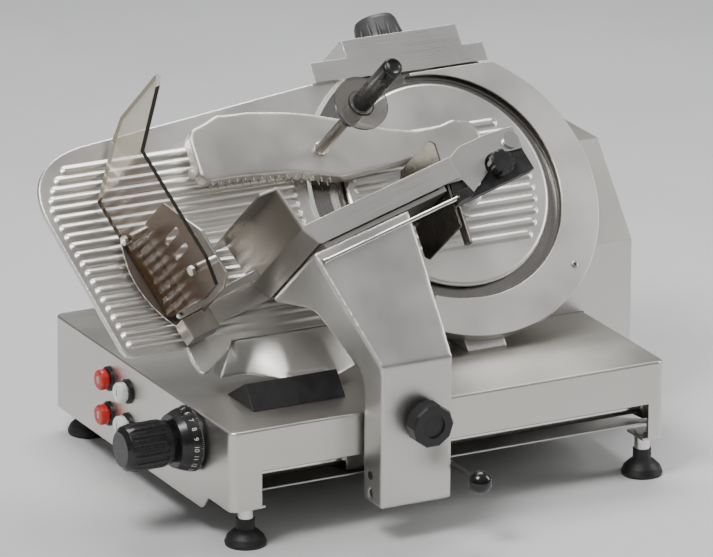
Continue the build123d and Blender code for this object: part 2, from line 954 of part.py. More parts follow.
with BuildPart() as knife_support:
    with BuildSketch(blade_plane(hub_back, 0, 0)):
        with Locations((knife_x, knife_v)):
            Circle(hub_radius)
    extrude(amount=hub_front - hub_back)
    with BuildSketch(blade_plane(hub_back, 0, 0)):
        with Locations((knife_x, knife_v)):
            Circle(flange_radius)
        with Locations((motor_x, motor_v)):
            Circle(motor_radius)
        make_hull()
    extrude(amount=bridge_thickness)
    post_corners = [
        on_blade(0, v, n) - at(0, 0, 0)
        for v, n in (
            (14, guard_back - seat),
            (92, guard_back - seat),
            (96, neck_front - 1),
            (knife_v, neck_front - 5),
            (knife_v, hub_back + 4),
        )
    ]
    with BuildSketch(side_plane(post_x0)):
        with BuildLine():
            Polyline(
                *[(corner.Y, corner.Z) for corner in post_corners],
                (housing_y0 + 50, seat),
                (post_corners[0].Y, seat),
                close=True,
            )
        make_face()
    extrude(amount=post_x1 - post_x0)
    with BuildSketch(blade_plane(neck_back)):
        with Locations((lift_x, (knife_v + 402) / 2)):
            Rectangle(44, 402 - knife_v)
    extrude(amount=neck_front - neck_back)
    with BuildSketch(Plane(origin=on_blade(lift_x, 352, lift_n), x_dir=across, z_dir=up_slope)):
        Circle(lift_radius + 5)
    extrude(amount=50)
    with BuildSketch(blade_plane(lift_n, lift_x, 377)):
        Rectangle(2 * lift_radius + 10, 50)
    extrude(amount=neck_back - lift_n + 1)
    with BuildSketch(level_plane(seat)):
        with Locations(((post_x0 + post_x1) / 2, housing_y0 + 55)):
            Rectangle(post_x1 - post_x0 + 36, 98)
    extrude(amount=7)
    with BuildSketch(Plane(origin=on_blade(lift_x, 350, lift_n), x_dir=across, z_dir=up_slope)):
        Circle(lift_radius + running)
    extrude(amount=54, mode=Mode.SUBTRACT)
    with BuildSketch(blade_plane(hub_back - 1, knife_x, knife_v)):
        Circle(bearing_outer + running)
    extrude(amount=hub_front - hub_back + 2, mode=Mode.SUBTRACT)
    with BuildSketch(blade_plane(hub_front - 1, knife_x, knife_v)):
        Circle(flange_radius)
    extrude(amount=30, mode=Mode.SUBTRACT)
    with BuildSketch(blade_plane(hub_back - 2, motor_x, motor_v)):
        Circle(14)
    extrude(amount=bridge_thickness + 3, mode=Mode.SUBTRACT)
    with BuildSketch(blade_plane(hub_back - 40, knife_x, knife_v)):
        Circle(pulley_radius + belt_thickness + 3)
    extrude(amount=40, mode=Mode.SUBTRACT)
save(knife_support, "knife_support")

cover_x = knife_x - cover_shift
with BuildPart() as guard_ring:
    with BuildSketch(blade_plane(guard_back)):
        with Locations((guard_x, guard_v)):
            Circle(guard_radius)
        with Locations((knife_x, knife_v)):
            Circle(knife_radius + 2, mode=Mode.SUBTRACT)
    extrude(amount=guard_front - guard_back)
    with BuildSketch(blade_plane(guard_front - 3)):
        with Locations((guard_x, guard_v)):
            Circle(guard_radius)
        with Locations((knife_x, knife_v)):
            Circle(guard_opening, mode=Mode.SUBTRACT)
        with Locations((cover_x, knife_v)):
            Circle(cover_radius + 1.5, mode=Mode.SUBTRACT)
    extrude(amount=3)
    with BuildSketch(blade_plane(guard_back - 1)):
        with BuildLine():
            Polyline(
                (guard_x - 300, guard_top),
                (guard_x - 300, guard_top + 100),
                (guard_x + 300, guard_top + 100),
                (guard_x + 300, guard_top),
                close=True,
            )
        make_face()
        with BuildLine():
            Polyline(
                (430, guard_top + 1),
                (430, knife_v),
                (guard_x, guard_v),
                (guard_x - 300 * cos(radians(62)), guard_v - 300 * sin(radians(62))),
                (guard_x - 400, guard_v - 200),
                (guard_x - 400, guard_top + 1),
                close=True,
            )
        make_face()
    extrude(amount=guard_front - guard_back + 2, mode=Mode.SUBTRACT)
save(guard_ring, "guard_ring")

with BuildPart() as knife_cover:
    with BuildSketch(blade_plane(cover_back)):
        with Locations((cover_x, knife_v)):
            Circle(cover_radius)
    extrude(amount=cover_front - cover_back)
    with BuildSketch(blade_plane(cover_front - 0.2)):
        for rib, rib_right in enumerate(cover_rib_ends):
            rib_v = cover_first_rib + rib * cover_rib_pitch
            reach = cover_radius - 8
            chord = sqrt(reach * reach - (rib_v - knife_v) ** 2)
            rib_left = cover_x - chord
            with Locations(((rib_left + rib_right) / 2, rib_v)):
                SlotOverall(rib_right - rib_left, cover_rib_width)
    extrude(amount=cover_rib_height + 0.2)
save(knife_cover, "knife_cover")

with BuildPart() as cover_tie_rod:
    with BuildSketch(knife_turn):
        with BuildLine():
            Polyline(
                (0, cover_back - seat),
                (12, cover_back - seat),
                (12, cover_back - 3),
                (tie_rod_radius, cover_back - 3),
                (tie_rod_radius, pulley_back - 6),
                (16, pulley_back - 6),
                (18, pulley_back - 9),
                (18, pulley_back - 18),
                (15, pulley_back - 21),
                (0, pulley_back - 21),
                close=True,
            )
        make_face()
    revolve(axis=knife_axis)
save(cover_tie_rod, "cover_tie_rod")

with BuildPart() as motor_housing:
    with BuildSketch(side_plane(housing_x0)):
        with BuildLine():
            Polyline(
                (housing_y0, seat),
                (housing_y0, fold_z),
                (slope_top, housing_top),
                (housing_y1, housing_top),
                (housing_y1, seat),
                close=True,
            )
        make_face()
    extrude(amount=housing_x1 - housing_x0)
    with BuildSketch(side_plane(base_length + seat)):
        with BuildLine():
            Polyline(
                (housing_y0, -housing_drop),
                (housing_y0, 20),
                (housing_y1, 20),
                (housing_y1, -housing_drop),
                close=True,
            )
        make_face()
    extrude(amount=housing_x1 - base_length - seat)
    with BuildSketch(side_plane(housing_x0 + sheet)):
        with BuildLine():
            Polyline(
                (housing_y0 + sheet, -1),
                (housing_y0 + sheet, fold_z - 1),
                (slope_top + 1, housing_top - sheet),
                (housing_y1 - sheet, housing_top - sheet),
                (housing_y1 - sheet, -1),
                close=True,
            )
        make_face()
    extrude(amount=base_length - housing_x0 - sheet, mode=Mode.SUBTRACT)
    with BuildSketch(side_plane(base_length - 1)):
        with BuildLine():
            Polyline(
                (housing_y0 + sheet, 8),
                (housing_y0 + sheet, fold_z - 1),
                (slope_top + 1, housing_top - sheet),
                (housing_y1 - sheet, housing_top - sheet),
                (housing_y1 - sheet, 8),
                close=True,
            )
        make_face()
    extrude(amount=housing_x1 - base_length + 1 - sheet, mode=Mode.SUBTRACT)
    with BuildSketch(side_plane(base_length + seat + sheet)):
        with BuildLine():
            Polyline(
                (housing_y0 + sheet, -housing_drop + sheet),
                (housing_y0 + sheet, 12),
                (housing_y1 - sheet, 12),
                (housing_y1 - sheet, -housing_drop + sheet),
                close=True,
            )
        make_face()
    extrude(amount=housing_x1 - base_length - seat - 2 * sheet, mode=Mode.SUBTRACT)
    with BuildSketch(blade_plane(-30, knife_x, knife_v)):
        Circle(32)
    extrude(amount=30, mode=Mode.SUBTRACT)
    with BuildSketch(front_plane(housing_y0 + 6)):
        with Locations(((post_x0 + post_x1) / 2, fold_z / 2 - 2)):
            Rectangle(post_x1 - post_x0 + 4, fold_z + 4)
    extrude(amount=12, mode=Mode.SUBTRACT)
    with BuildSketch(level_plane(housing_top - 8)):
        with Locations((lift_x, slope_top + 12)):
            Rectangle(48, 52)
    extrude(amount=12, mode=Mode.SUBTRACT)
save(motor_housing, "motor_housing")

# --------------------------------------------------------------- knife sharpener
with BuildPart() as sharpener_cover:
    with BuildSketch(blade_plane(sharp_front - sheet)):
        with BuildLine():
            Polyline(*sharp_outline, close=True)
        make_face()
    extrude(amount=sheet)
    with BuildSketch(blade_plane(sharp_back)):
        with Locations(((sharp_x0 + sharp_x1) / 2, (sharp_v0 + sharp_v1) / 2)):
            Rectangle(sharp_x1 - sharp_x0, sharp_v1 - sharp_v0)
        with Locations(((sharp_x0 + sharp_x1) / 2, (sharp_v0 + sharp_v1) / 2 - sheet)):
            Rectangle(sharp_x1 - sharp_x0 - 2 * sheet, sharp_v1 - sharp_v0, mode=Mode.SUBTRACT)
    extrude(amount=sharp_front - sharp_back)
    with BuildSketch(Plane(origin=on_blade(sharp_knob_x, sharp_v1 - 20, sharp_knob_n),
                           x_dir=across, z_dir=up_slope)):
        Circle(knob_stem + running)
    extrude(amount=30, mode=Mode.SUBTRACT)
save(sharpener_cover, "sharpener_cover")

with BuildPart() as sharpener_body:
    with BuildSketch(blade_plane(sharp_back + 4)):
        with Locations(((380 + 476) / 2, (417 + sharp_v1 - sheet - seat) / 2)):
            Rectangle(96, sharp_v1 - sheet - seat - 417)
    extrude(amount=sharp_front - sheet - seat - sharp_back - 4)
    with BuildSketch(Plane(origin=on_blade(lift_x, 358, lift_n), x_dir=across, z_dir=up_slope)):
        Circle(lift_radius)
    extrude(amount=62)
    with BuildSketch(Plane(origin=on_blade(sharp_knob_x, 424, sharp_knob_n), x_dir=across, z_dir=up_slope)):
        Circle(knob_stem + running)
    extrude(amount=40, mode=Mode.SUBTRACT)
    for stone_x in stone_places:
        with BuildSketch(blade_plane(stone_n - stone_width / 2 - 1, stone_x, stone_v)):
            Circle(stone_radius + 2)
        extrude(amount=stone_width + 2, mode=Mode.SUBTRACT)
        with BuildSketch(blade_plane(stone_n - 9, stone_x, stone_v)):
            Circle(stone_pin)
        extrude(amount=18)
save(sharpener_body, "sharpener_body")

with BuildPart() as sharpener_stones:
    for stone_x in stone_places:
        with BuildSketch(blade_plane(stone_n - stone_width / 2, stone_x, stone_v)):
            Circle(stone_radius)
            Circle(stone_pin + running, mode=Mode.SUBTRACT)
        extrude(amount=stone_width)
save(sharpener_stones, "sharpener_stones")

sharp_knob_base = on_blade(sharp_knob_x, sharp_v1 + seat, sharp_knob_n)
with BuildPart() as sharpener_knob:
    with BuildSketch(turn_plane(sharp_knob_base, up_slope, across)):
        with BuildLine():
            Polyline(
                (0, -14),
                (knob_stem, -14),
                (knob_stem, 0),
                (31, 0),
                (31, 5),
                (27.5, 26),
                (25, 31),
                (0, 33),
                close=True,
            )
        make_face()
    revolve(axis=Axis(sharp_knob_base, up_slope))
    with BuildSketch(Plane(origin=sharp_knob_base, x_dir=across, z_dir=up_slope)):
        with PolarLocations(31.5, 16):
            Circle(3)
    extrude(amount=40, mode=Mode.SUBTRACT)
save(sharpener_knob, "sharpener_knob")

# ------------------------------------------------------- carriage and its drive
with BuildPart() as guide_rods:
    with BuildSketch(side_plane(rod_x0)):
        with Locations((rod_y, rod_z)):
            Circle(rod_radius)
        with Locations((steady_y, steady_z)):
            Circle(steady_radius)
    extrude(amount=base_length - 2 * rod_x0)
    with BuildSketch(blade_plane(gauge_axis_n - 44)):
        with Locations((guide_x, block_v)):
            Circle(guide_radius)
    extrude(amount=80)
save(guide_rods, "guide_rods")

with BuildPart() as inner_brackets:
    for plate_x in (sheet + seat, base_length - sheet - seat - bracket_width):
        with BuildSketch(side_plane(plate_x)):
            with BuildLine():
                Polyline(
                    (25, -sheet - seat),
                    (25, -82),
                    (50, -84),
                    (74, -92),
                    (74, -sheet - seat),
                    close=True,
                )
            make_face()
            with Locations((rod_y, rod_z)):
                Circle(rod_radius + running, mode=Mode.SUBTRACT)
            with Locations((steady_y, steady_z)):
                Circle(steady_radius + running, mode=Mode.SUBTRACT)
        extrude(amount=bracket_width)
    with BuildSketch(side_plane(guide_x - 12)):
        with BuildLine():
            Polyline((62, -sheet - seat), (62, -26), (80, -30), (80, -sheet - seat), close=True)
        make_face()
        with BuildLine():
            Polyline((131, -sheet - seat), (131, -76), (144, -76), (144, -sheet - seat), close=True)
        make_face()
    extrude(amount=24)
    with BuildSketch(blade_plane(gauge_axis_n - 44 - seat)):
        with Locations((guide_x, block_v)):
            Circle(guide_radius + running)
    extrude(amount=80 + 2 * seat, mode=Mode.SUBTRACT)
    with BuildSketch(side_plane(hanger_x)):
        with BuildLine():
            Polyline(
                (shaft_y - 12, -sheet - seat),
                (shaft_y - 12, shaft_z - 12),
                (shaft_y + 12, shaft_z - 12),
                (shaft_y + 12, -sheet - seat),
                close=True,
            )
        make_face()
        with Locations((shaft_y, shaft_z)):
            Circle(dial_shaft + running, mode=Mode.SUBTRACT)
    extrude(amount=8)
    with BuildSketch(front_plane(24.5)):
        with Locations((idler_x, (-sheet - seat + belt_z - 14) / 2)):
            Rectangle(28, -sheet - seat - belt_z + 14)
    extrude(amount=4)
    with BuildSketch(front_plane(21)):
        with Locations((idler_x, belt_z)):
            Circle(idler_pin)
    extrude(amount=15)
save(inner_brackets, "inner_brackets")

with BuildPart() as idler_pulley:
    with BuildSketch(front_plane(19.7)):
        with Locations((idler_x, belt_z)):
            Circle(belt_pulley)
            Circle(idler_pin + running, mode=Mode.SUBTRACT)
    extrude(amount=13)
    for rim_y in (19.7, 8.2):
        with BuildSketch(front_plane(rim_y)):
            with Locations((idler_x, belt_z)):
                Circle(belt_pulley + 3)
                Circle(belt_pulley - 1, mode=Mode.SUBTRACT)
        extrude(amount=1.5)
save(idler_pulley, "idler_pulley")

with BuildPart() as drive_pulley:
    with BuildSketch(front_plane(19.7)):
        with Locations((drive_x, belt_z)):
            Circle(belt_pulley)
            Circle(motor_shaft + running, mode=Mode.SUBTRACT)
    extrude(amount=13)
    for rim_y in (19.7, 8.2):
        with BuildSketch(front_plane(rim_y)):
            with Locations((drive_x, belt_z)):
                Circle(belt_pulley + 3)
                Circle(belt_pulley - 1, mode=Mode.SUBTRACT)
        extrude(amount=1.5)
save(drive_pulley, "drive_pulley")

with BuildPart() as carriage_motor:
    with BuildSketch(front_plane(24.5)):
        with Locations((drive_x, (-sheet - seat - 48) / 2)):
            Rectangle(52, 48 - sheet - seat)
    extrude(amount=4)
    with BuildSketch(front_plane(100)):
        with Locations((drive_x, belt_z)):
            Circle(gear_motor_radius)
    extrude(amount=76)
    with BuildSketch(front_plane(56)):
        with Locations((drive_x, (-sheet - seat - 48) / 2)):
            Rectangle(46, 48 - sheet - seat)
    extrude(amount=32)
    with BuildSketch(front_plane(22)):
        with Locations((drive_x, belt_z)):
            Circle(motor_shaft)
    extrude(amount=15.5)
save(carriage_motor, "carriage_motor")

with BuildPart() as drive_belts:
    with BuildSketch(front_plane(18)):
        with Locations((idler_x, belt_z)):
            Circle(belt_pulley + seat + 2)
        with Locations((drive_x, belt_z)):
            Circle(belt_pulley + seat + 2)
        make_hull()
        with Locations(((idler_x + drive_x) / 2, belt_z)):
            Rectangle(drive_x - idler_x, 2 * belt_pulley + 2 * seat, mode=Mode.SUBTRACT)
        with Locations((idler_x, belt_z), (drive_x, belt_z)):
            Circle(belt_pulley + seat, mode=Mode.SUBTRACT)
    extrude(amount=9.5)
    with BuildSketch(blade_plane(pulley_back + 1)):
        with Locations((knife_x, knife_v)):
            Circle(pulley_radius + seat + belt_thickness)
        with Locations((motor_x, motor_v)):
            Circle(motor_pulley_radius + seat + belt_thickness)
        make_hull()
    extrude(amount=belt_width)
    with BuildSketch(blade_plane(pulley_back)):
        with Locations((knife_x, knife_v)):
            Circle(pulley_radius + seat)
        with Locations((motor_x, motor_v)):
            Circle(motor_pulley_radius + seat)
        make_hull()
    extrude(amount=belt_width + 2, mode=Mode.SUBTRACT)
save(drive_belts, "drive_belts")

with BuildPart() as carriage_block:
    with BuildSketch(side_plane(block_x0)):
        with BuildLine():
            Polyline(
                (22, -51),
                (22, -80),
                (36, -84.5),
                (72, -91),
                (72, -68),
                (54, -51),
                close=True,
            )
        make_face()
        with Locations((rod_y, rod_z)):
            Circle(rod_radius + running, mode=Mode.SUBTRACT)
        with Locations((steady_y, steady_z)):
            Circle(steady_radius + running, mode=Mode.SUBTRACT)
    extrude(amount=block_x1 - block_x0)
    with BuildSketch(side_plane(arm_left + arm_wall + 13)):
        with BuildLine():
            Polyline(
                (-18, 24),
                (-46, 24),
                (-46, -60),
                (-38, -97),
                (-32, -103),
                (-25, -103),
                (-8, -90),
                (-4, -77),
                (23, -77),
                (23, -57),
                (-8, -57),
                (-18, -48),
                close=True,
            )
        make_face()
        with Locations((pivot_y, pivot_z)):
            Circle(pivot_radius + running, mode=Mode.SUBTRACT)
    extrude(amount=arm_right - arm_left - 2 * arm_wall - 17)
    with BuildSketch(side_plane(clamp_x0)):
        with BuildLine():
            Polyline(
                (23, -57),
                (23, -44),
                (7, -44),
                (7, -47.5),
                (19.5, -47.5),
                (19.5, -51),
                (7, -51),
                (7, -57),
                close=True,
            )
        make_face()
    extrude(amount=clamp_x1 - clamp_x0)
    with BuildSketch(side_plane(block_x1 - 8)):
        with BuildLine():
            Polyline((3, -60), (3, -79), (26, -79), (26, -60), close=True)
        make_face()
    extrude(amount=lever_x + 11 - block_x1 + 8)
    with BuildSketch(front_plane(25)):
        with Locations((lever_x, lever_z)):
            Circle(lever_radius + running)
    extrude(amount=30, mode=Mode.SUBTRACT)
save(carriage_block, "carriage_block")

with BuildPart() as engage_lever:
    with BuildSketch(front_plane(24)):
        with Locations((lever_x, lever_z)):
            Circle(lever_radius)
    extrude(amount=130)
    with Locations(at(lever_x, lever_ball_y, lever_z)):
        Sphere(lever_ball)
save(engage_lever, "engage_lever")

# ----------------------------------------------------------------- carriage arm
arm_corners = [
    (arm_left, -320),
    (arm_left, -58),
    (174, -52),
    (133, 105),
    (276, 142),
    (276, 105),
    (arm_right + 1, -52),
    (arm_right, -58),
    (arm_right, -320),
]
arm_inner = [
    (arm_left + arm_wall, -330),
    (arm_left + arm_wall, -58),
    (182, -52),
    (143, 99),
    (268, 131),
    (268, 105),
    (arm_right - arm_wall, -52),
    (arm_right - arm_wall, -330),
]
arm_top = on_blade(0, 150, arm_face_n) - at(0, 0, 0)
arm_rear = on_blade(0, 150, 35) - at(0, 0, 0)
arm_rear_edge = [
    on_blade(0, v, n) - at(0, 0, 0)
    for v, n in ((104, 36), (96, 44), (84, 65), (65, 99), (51, 112), (12, 120), (-29, 128))
]
knee = on_blade(0, -52, arm_face_n) - at(0, 0, 0)
with BuildPart() as arm_hollow:
    with BuildSketch(side_plane(100)):
        with BuildLine():
            Polyline(
                (arm_back + 40, arm_bottom + 4),
                (arm_front + arm_wall, arm_bottom + 4),
                (arm_front + arm_wall, knee.Z - 3),
                (arm_top.Y + 5, arm_top.Z - 6),
                (arm_rear.Y - 20, arm_rear.Z - 17),
                (arm_rear.Y + 60, arm_rear.Z - 67),
                (arm_rear.Y + 60, arm_bottom + 4),
                close=True,
            )
        make_face()
    extrude(amount=200)
    with BuildSketch(blade_plane(-200)):
        with BuildLine():
            Polyline(*arm_inner, close=True)
        make_face()
    extrude(amount=500, mode=Mode.INTERSECT)

with BuildPart() as arm_casting:
    with BuildSketch(side_plane(100)):
        with BuildLine():
            Polyline(
                (arm_back, arm_bottom),
                (arm_front, arm_bottom),
                (arm_front, knee.Z),
                (arm_top.Y, arm_top.Z),
                (arm_rear.Y, arm_rear.Z),
                *[(spot.Y, spot.Z) for spot in arm_rear_edge],
                (arm_back, 50),
                close=True,
            )
        make_face()
    extrude(amount=200)
    with BuildSketch(blade_plane(-200)):
        with BuildLine():
            Polyline(*arm_corners, close=True)
        make_face()
    extrude(amount=500, mode=Mode.INTERSECT)
    add(arm_hollow.part, mode=Mode.SUBTRACT)
    with BuildSketch(side_plane(arm_left - 1)):
        with Locations((pivot_y, pivot_z)):
            Circle(pivot_radius + running)
    extrude(amount=arm_right - arm_left + 2, mode=Mode.SUBTRACT)
    with BuildSketch(front_plane(arm_front + arm_wall + 2)):
        with Locations((arm_knob_x, arm_knob_z)):
            Circle(arm_stud + running)
    extrude(amount=arm_wall + 4, mode=Mode.SUBTRACT)
save(arm_casting, "arm_casting")

with BuildPart() as arm_pivot_pin:
    with BuildSketch(side_plane(arm_left + 1)):
        with Locations((pivot_y, pivot_z)):
            Circle(pivot_radius)
    extrude(amount=arm_right - arm_left - 2)
save(arm_pivot_pin, "arm_pivot_pin")

with BuildPart() as arm_knob:
    with BuildSketch(front_plane(arm_front - seat)):
        with Locations((arm_knob_x, arm_knob_z)):
            Circle(17)
    extrude(amount=8)
    with BuildSketch(front_plane(arm_front - seat - 8)):
        with Locations((arm_knob_x, arm_knob_z)):
            RegularPolygon(27.5, 10)
    extrude(amount=21)
    chamfer(arm_knob.edges().group_by(Axis.Y)[0], length=2)
    with BuildSketch(front_plane(arm_front - seat - 26)):
        with Locations((arm_knob_x, arm_knob_z)):
            Circle(15)
    extrude(amount=6, mode=Mode.SUBTRACT)
    with BuildSketch(front_plane(arm_front + arm_wall + 1.5)):
        with Locations((arm_knob_x, arm_knob_z)):
            Circle(arm_stud)
    extrude(amount=16)
save(arm_knob, "arm_knob")

# ------------------------------------------------------------------------- tray
with BuildPart() as tray_trough:
    with BuildSketch(tray_plane(tray_back)):
        with BuildLine():
            Polyline(
                (tray_width, 0),
                (0, 0),
                (-3, wall_height + 1),
                (-30, wall_height + 2.5),
                (-30, wall_height),
                (-5.6, wall_height - 1.4),
                (-2.7, -tray_sheet),
                (3, -15),
                (9, -28),
                (11.6, -27),
                (5.6, -14),
                (1, -tray_sheet),
                (tray_width, -tray_sheet),
                close=True,
            )
        make_face()
    extrude(amount=apron_n - tray_back)
    with BuildSketch(tray_plane(apron_n)):
        with BuildLine():
            Polyline(
                (0, 0),
                (-3, wall_height + 1),
                (-30, wall_height + 2.5),
                (-30, wall_height),
                (-5.6, wall_height - 1.4),
                (-2.7, -tray_sheet),
                (3, -15),
                (9, -apron_height),
                (226, -apron_height),
                (226, 0),
                close=True,
            )
        make_face()
    extrude(amount=3)
    with BuildSketch(tray_plane(tray_back)):
        with BuildLine():
            Polyline((1, -1), (9, -28), (tray_width, -28), (tray_width, -1), close=True)
        make_face()
    extrude(amount=tray_sheet)
    with BuildSketch(tray_plane(end_plate_n - seat)):
        with BuildLine():
            Polyline((204, -tray_sheet - 2), (204, 2), (220, 2), (220, -tray_sheet - 2), close=True)
        make_face()
    extrude(amount=apron_n - end_plate_n + seat, mode=Mode.SUBTRACT)
save(tray_trough, "tray_trough")

with BuildPart() as tray_base:
    with BuildSketch(tray_plane(tray_back + 8)):
        with Locations(((15 + 203) / 2, (-35.7 - tray_sheet - seat) / 2)):
            Rectangle(203 - 15, 35.7 - tray_sheet - seat)
            Rectangle(203 - 15 - 16, 35.7 - tray_sheet - seat - 12, mode=Mode.SUBTRACT)
    extrude(amount=end_plate_n - seat - tray_back - 8)
save(tray_base, "tray_base")

teeth = [(rail_tooth_start + tooth * rail_pitch, 0) for tooth in range(rail_teeth)]
with BuildPart() as rear_rail:
    with BuildSketch(tray_plane(rail_n)):
        with BuildLine():
            Polyline(
                (rail_left, rail_foot_b),
                (rail_left, 2),
                (rail_left + 4, 8),
                (rail_left + 12, 8),
                (rail_left + 16, 2),
                (rail_tooth_start, 2),
                (rail_tooth_start, 10),
                (rail_tooth_end, 10),
                (rail_tooth_end, 2),
                (tray_width, -1),
                (tray_width, -28),
                (20, -28),
                (rail_foot_a, -28),
                (rail_foot_a, rail_foot_b),
                close=True,
            )
        make_face()
    extrude(amount=tray_back - seat - rail_n)
    with BuildSketch(tray_plane(rail_n - 1)):
        for tooth in range(rail_teeth):
            with Locations((rail_tooth_start + (tooth + 0.5) * rail_pitch, 10)):
                Rectangle(rail_pitch / 2, 6)
    extrude(amount=6, mode=Mode.SUBTRACT)
save(rear_rail, "rear_rail")

with BuildPart() as tray_rod:
    with BuildSketch(Plane(origin=on_tray(-2, -51, rod_front_n), x_dir=knife_normal, z_dir=tray_across)):
        Circle(tray_rod_radius)
    extrude(amount=216)
    with BuildSketch(Plane(origin=on_tray(-3, -51, rod_front_n), x_dir=knife_normal, z_dir=tray_across)):
        Circle(tray_rod_radius + 0.8)
    extrude(amount=6)
save(tray_rod, "tray_rod")

with BuildPart() as end_block:
    with BuildSketch(tray_plane(block_back_n)):
        with BuildLine():
            Polyline(
                (204.5, -57),
                (212.5, -29),
                (220, -2),
                (327, -2),
                (327, -57),
                close=True,
            )
        make_face()
        with Locations((press_a, press_b)):
            Circle(press_rod_radius + running, mode=Mode.SUBTRACT)
        with Locations((tray_knob_a, tray_knob_b)):
            Circle(tray_stud + running, mode=Mode.SUBTRACT)
    extrude(amount=end_plate_n - seat - block_back_n)
    with BuildSketch(tray_plane(end_plate_n - seat - 4)):
        with BuildLine():
            Polyline((205, -57), (208.5, -45), (225, -45), (225, -57), close=True)
        make_face()
    extrude(amount=rod_front_n + 5 - end_plate_n + seat + 4)
    with BuildSketch(Plane(origin=on_tray(200, -51, rod_front_n), x_dir=knife_normal, z_dir=tray_across)):
        Circle(tray_rod_radius + running)
    extrude(amount=14 + seat, mode=Mode.SUBTRACT)
save(end_block, "end_block")

with BuildPart() as end_plate:
    with BuildSketch(tray_plane(end_plate_n)):
        with BuildLine():
            Polyline(
                (205, -6),
                (228, -1),
                (248, 7),
                (291, 7),
                (329, 2),
                (327, -28),
                (295, -23),
                (233, -52),
                (228, -32),
                (205, -29),
                close=True,
            )
        make_face()
        with Locations((press_a, press_b)):
            Circle(press_rod_radius + running, mode=Mode.SUBTRACT)
        with Locations((tray_knob_a, tray_knob_b)):
            Circle(18, mode=Mode.SUBTRACT)
    extrude(amount=apron_n - seat - end_plate_n)
save(end_plate, "end_plate")

with BuildPart() as tray_knob:
    with BuildSketch(tray_plane(end_plate_n)):
        with Locations((tray_knob_a, tray_knob_b)):
            Circle(9)
    extrude(amount=6)
    with BuildSketch(tray_plane(end_plate_n + 6)):
        with Locations((tray_knob_a, tray_knob_b)):
            Circle(16)
            with PolarLocations(17.5, 8):
                Circle(3.4, mode=Mode.SUBTRACT)
    extrude(amount=13)
    chamfer(tray_knob.faces().sort_by(Axis(on_blade(0, 0), knife_normal))[-1].edges(), length=1.2)
    with BuildSketch(tray_plane(block_back_n + 2)):
        with Locations((tray_knob_a, tray_knob_b)):
            Circle(tray_stud)
    extrude(amount=end_plate_n - block_back_n)
save(tray_knob, "tray_knob")

with BuildPart() as fence_plate:
    with BuildSketch(Plane(origin=on_blade(fence_x, 0), x_dir=up_slope, z_dir=across)):
        with BuildLine():
            Polyline(
                (118, 63),
                (111, 72),
                (111, end_plate_n - seat),
                (222, end_plate_n - seat),
                (231, end_plate_n - 12),
                (231, 72),
                (222, 63),
                close=True,
            )
        make_face()
    extrude(amount=sheet + 0.5)
    with BuildSketch(Plane(origin=on_blade(fence_x, 163), x_dir=across, z_dir=up_slope)):
        with BuildLine():
            Polyline((0, -92), (0, -112), (52, -109), (52, -95), close=True)
        make_face()
    extrude(amount=2.5)
    with BuildSketch(Plane(origin=on_blade(381, 113, 102), x_dir=across, z_dir=up_slope)):
        Circle(5.5)
    extrude(amount=56)
save(fence_plate, "fence_plate")

# ---------------------------------------------------------------- product press
with BuildPart() as press_rod:
    with BuildSketch(blade_plane(8, press_x, press_v)):
        Circle(press_rod_radius)
    extrude(amount=apron_n - 8)
    with BuildSketch(blade_plane(apron_n, press_x, press_v)):
        Circle(press_rod_radius + 2.5)
    extrude(amount=3)
save(press_rod, "press_rod")

with BuildPart() as press_sleeve:
    with BuildSketch(blade_plane(press_n - 1, press_x, press_v)):
        Circle(sleeve_radius)
    extrude(amount=press_thickness + 8)
    with BuildSketch(blade_plane(press_n + press_thickness + seat, press_x, press_v)):
        Circle(sleeve_radius + 6)
    extrude(amount=5)
    with BuildSketch(blade_plane(press_n - 2, press_x, press_v)):
        Circle(press_rod_radius + running)
    extrude(amount=press_thickness + 12, mode=Mode.SUBTRACT)
save(press_sleeve, "press_sleeve")

def press_bottom(x):
    """The v of the press arm's lower edge over its spikes."""
    if x < 146:
        return 271
    if x < 215:
        return 271 - (x - 146) * 5 / 69
    return 266 - (x - 215) * 16 / 64


with BuildPart() as press_arm:
    with BuildSketch(blade_plane(press_n)):
        with BuildLine():
            Polyline(*press_outline, close=True)
        make_face()
        with Locations((press_x, press_v)):
            Circle(sleeve_radius + 10)
    extrude(amount=press_thickness)
    with BuildSketch(blade_plane(press_n - 1)):
        with BuildLine():
            Polyline(*press_window, close=True)
        make_face()
    extrude(amount=press_thickness - 6, mode=Mode.SUBTRACT)
    with BuildSketch(blade_plane(press_n - 1, press_x, press_v)):
        Circle(sleeve_radius + running)
    extrude(amount=press_thickness + 2, mode=Mode.SUBTRACT)
    with BuildSketch(blade_plane(press_n - 1, handle_x, handle_v)):
        Circle(handle_screw + running)
    extrude(amount=press_thickness + 2, mode=Mode.SUBTRACT)
    for spike_row in (0, 1):
        for spike in range(spike_count):
            spike_x = 108 + spike * spike_pitch
            spike_top = press_bottom(spike_x) + 4
            spike_base = on_blade(spike_x, spike_top, press_n + 6 + spike_row * 10)
            with BuildSketch(Plane(origin=spike_base, x_dir=across, z_dir=up_slope * -1)):
                Circle(1.6)
            extrude(amount=15, taper=4)
save(press_arm, "press_arm")

with BuildPart() as press_handle:
    with BuildSketch(turn_plane(on_blade(handle_x, handle_v), knife_normal, across)):
        with BuildLine():
            Polyline(
                (0, press_n + 2),
                (handle_screw, press_n + 2),
                (handle_screw, press_n + press_thickness + seat),
                (11, press_n + press_thickness + seat),
                (11, press_n + press_thickness + 6),
                (7, press_n + press_thickness + 9),
                (7, grip_start),
                (grip_r, grip_start),
                (grip_r, grip_end - 4),
                (grip_r - 3, grip_end),
                (0, grip_end),
                close=True,
            )
        make_face()
    revolve(axis=Axis(on_blade(handle_x, handle_v), knife_normal))
save(press_handle, "press_handle")

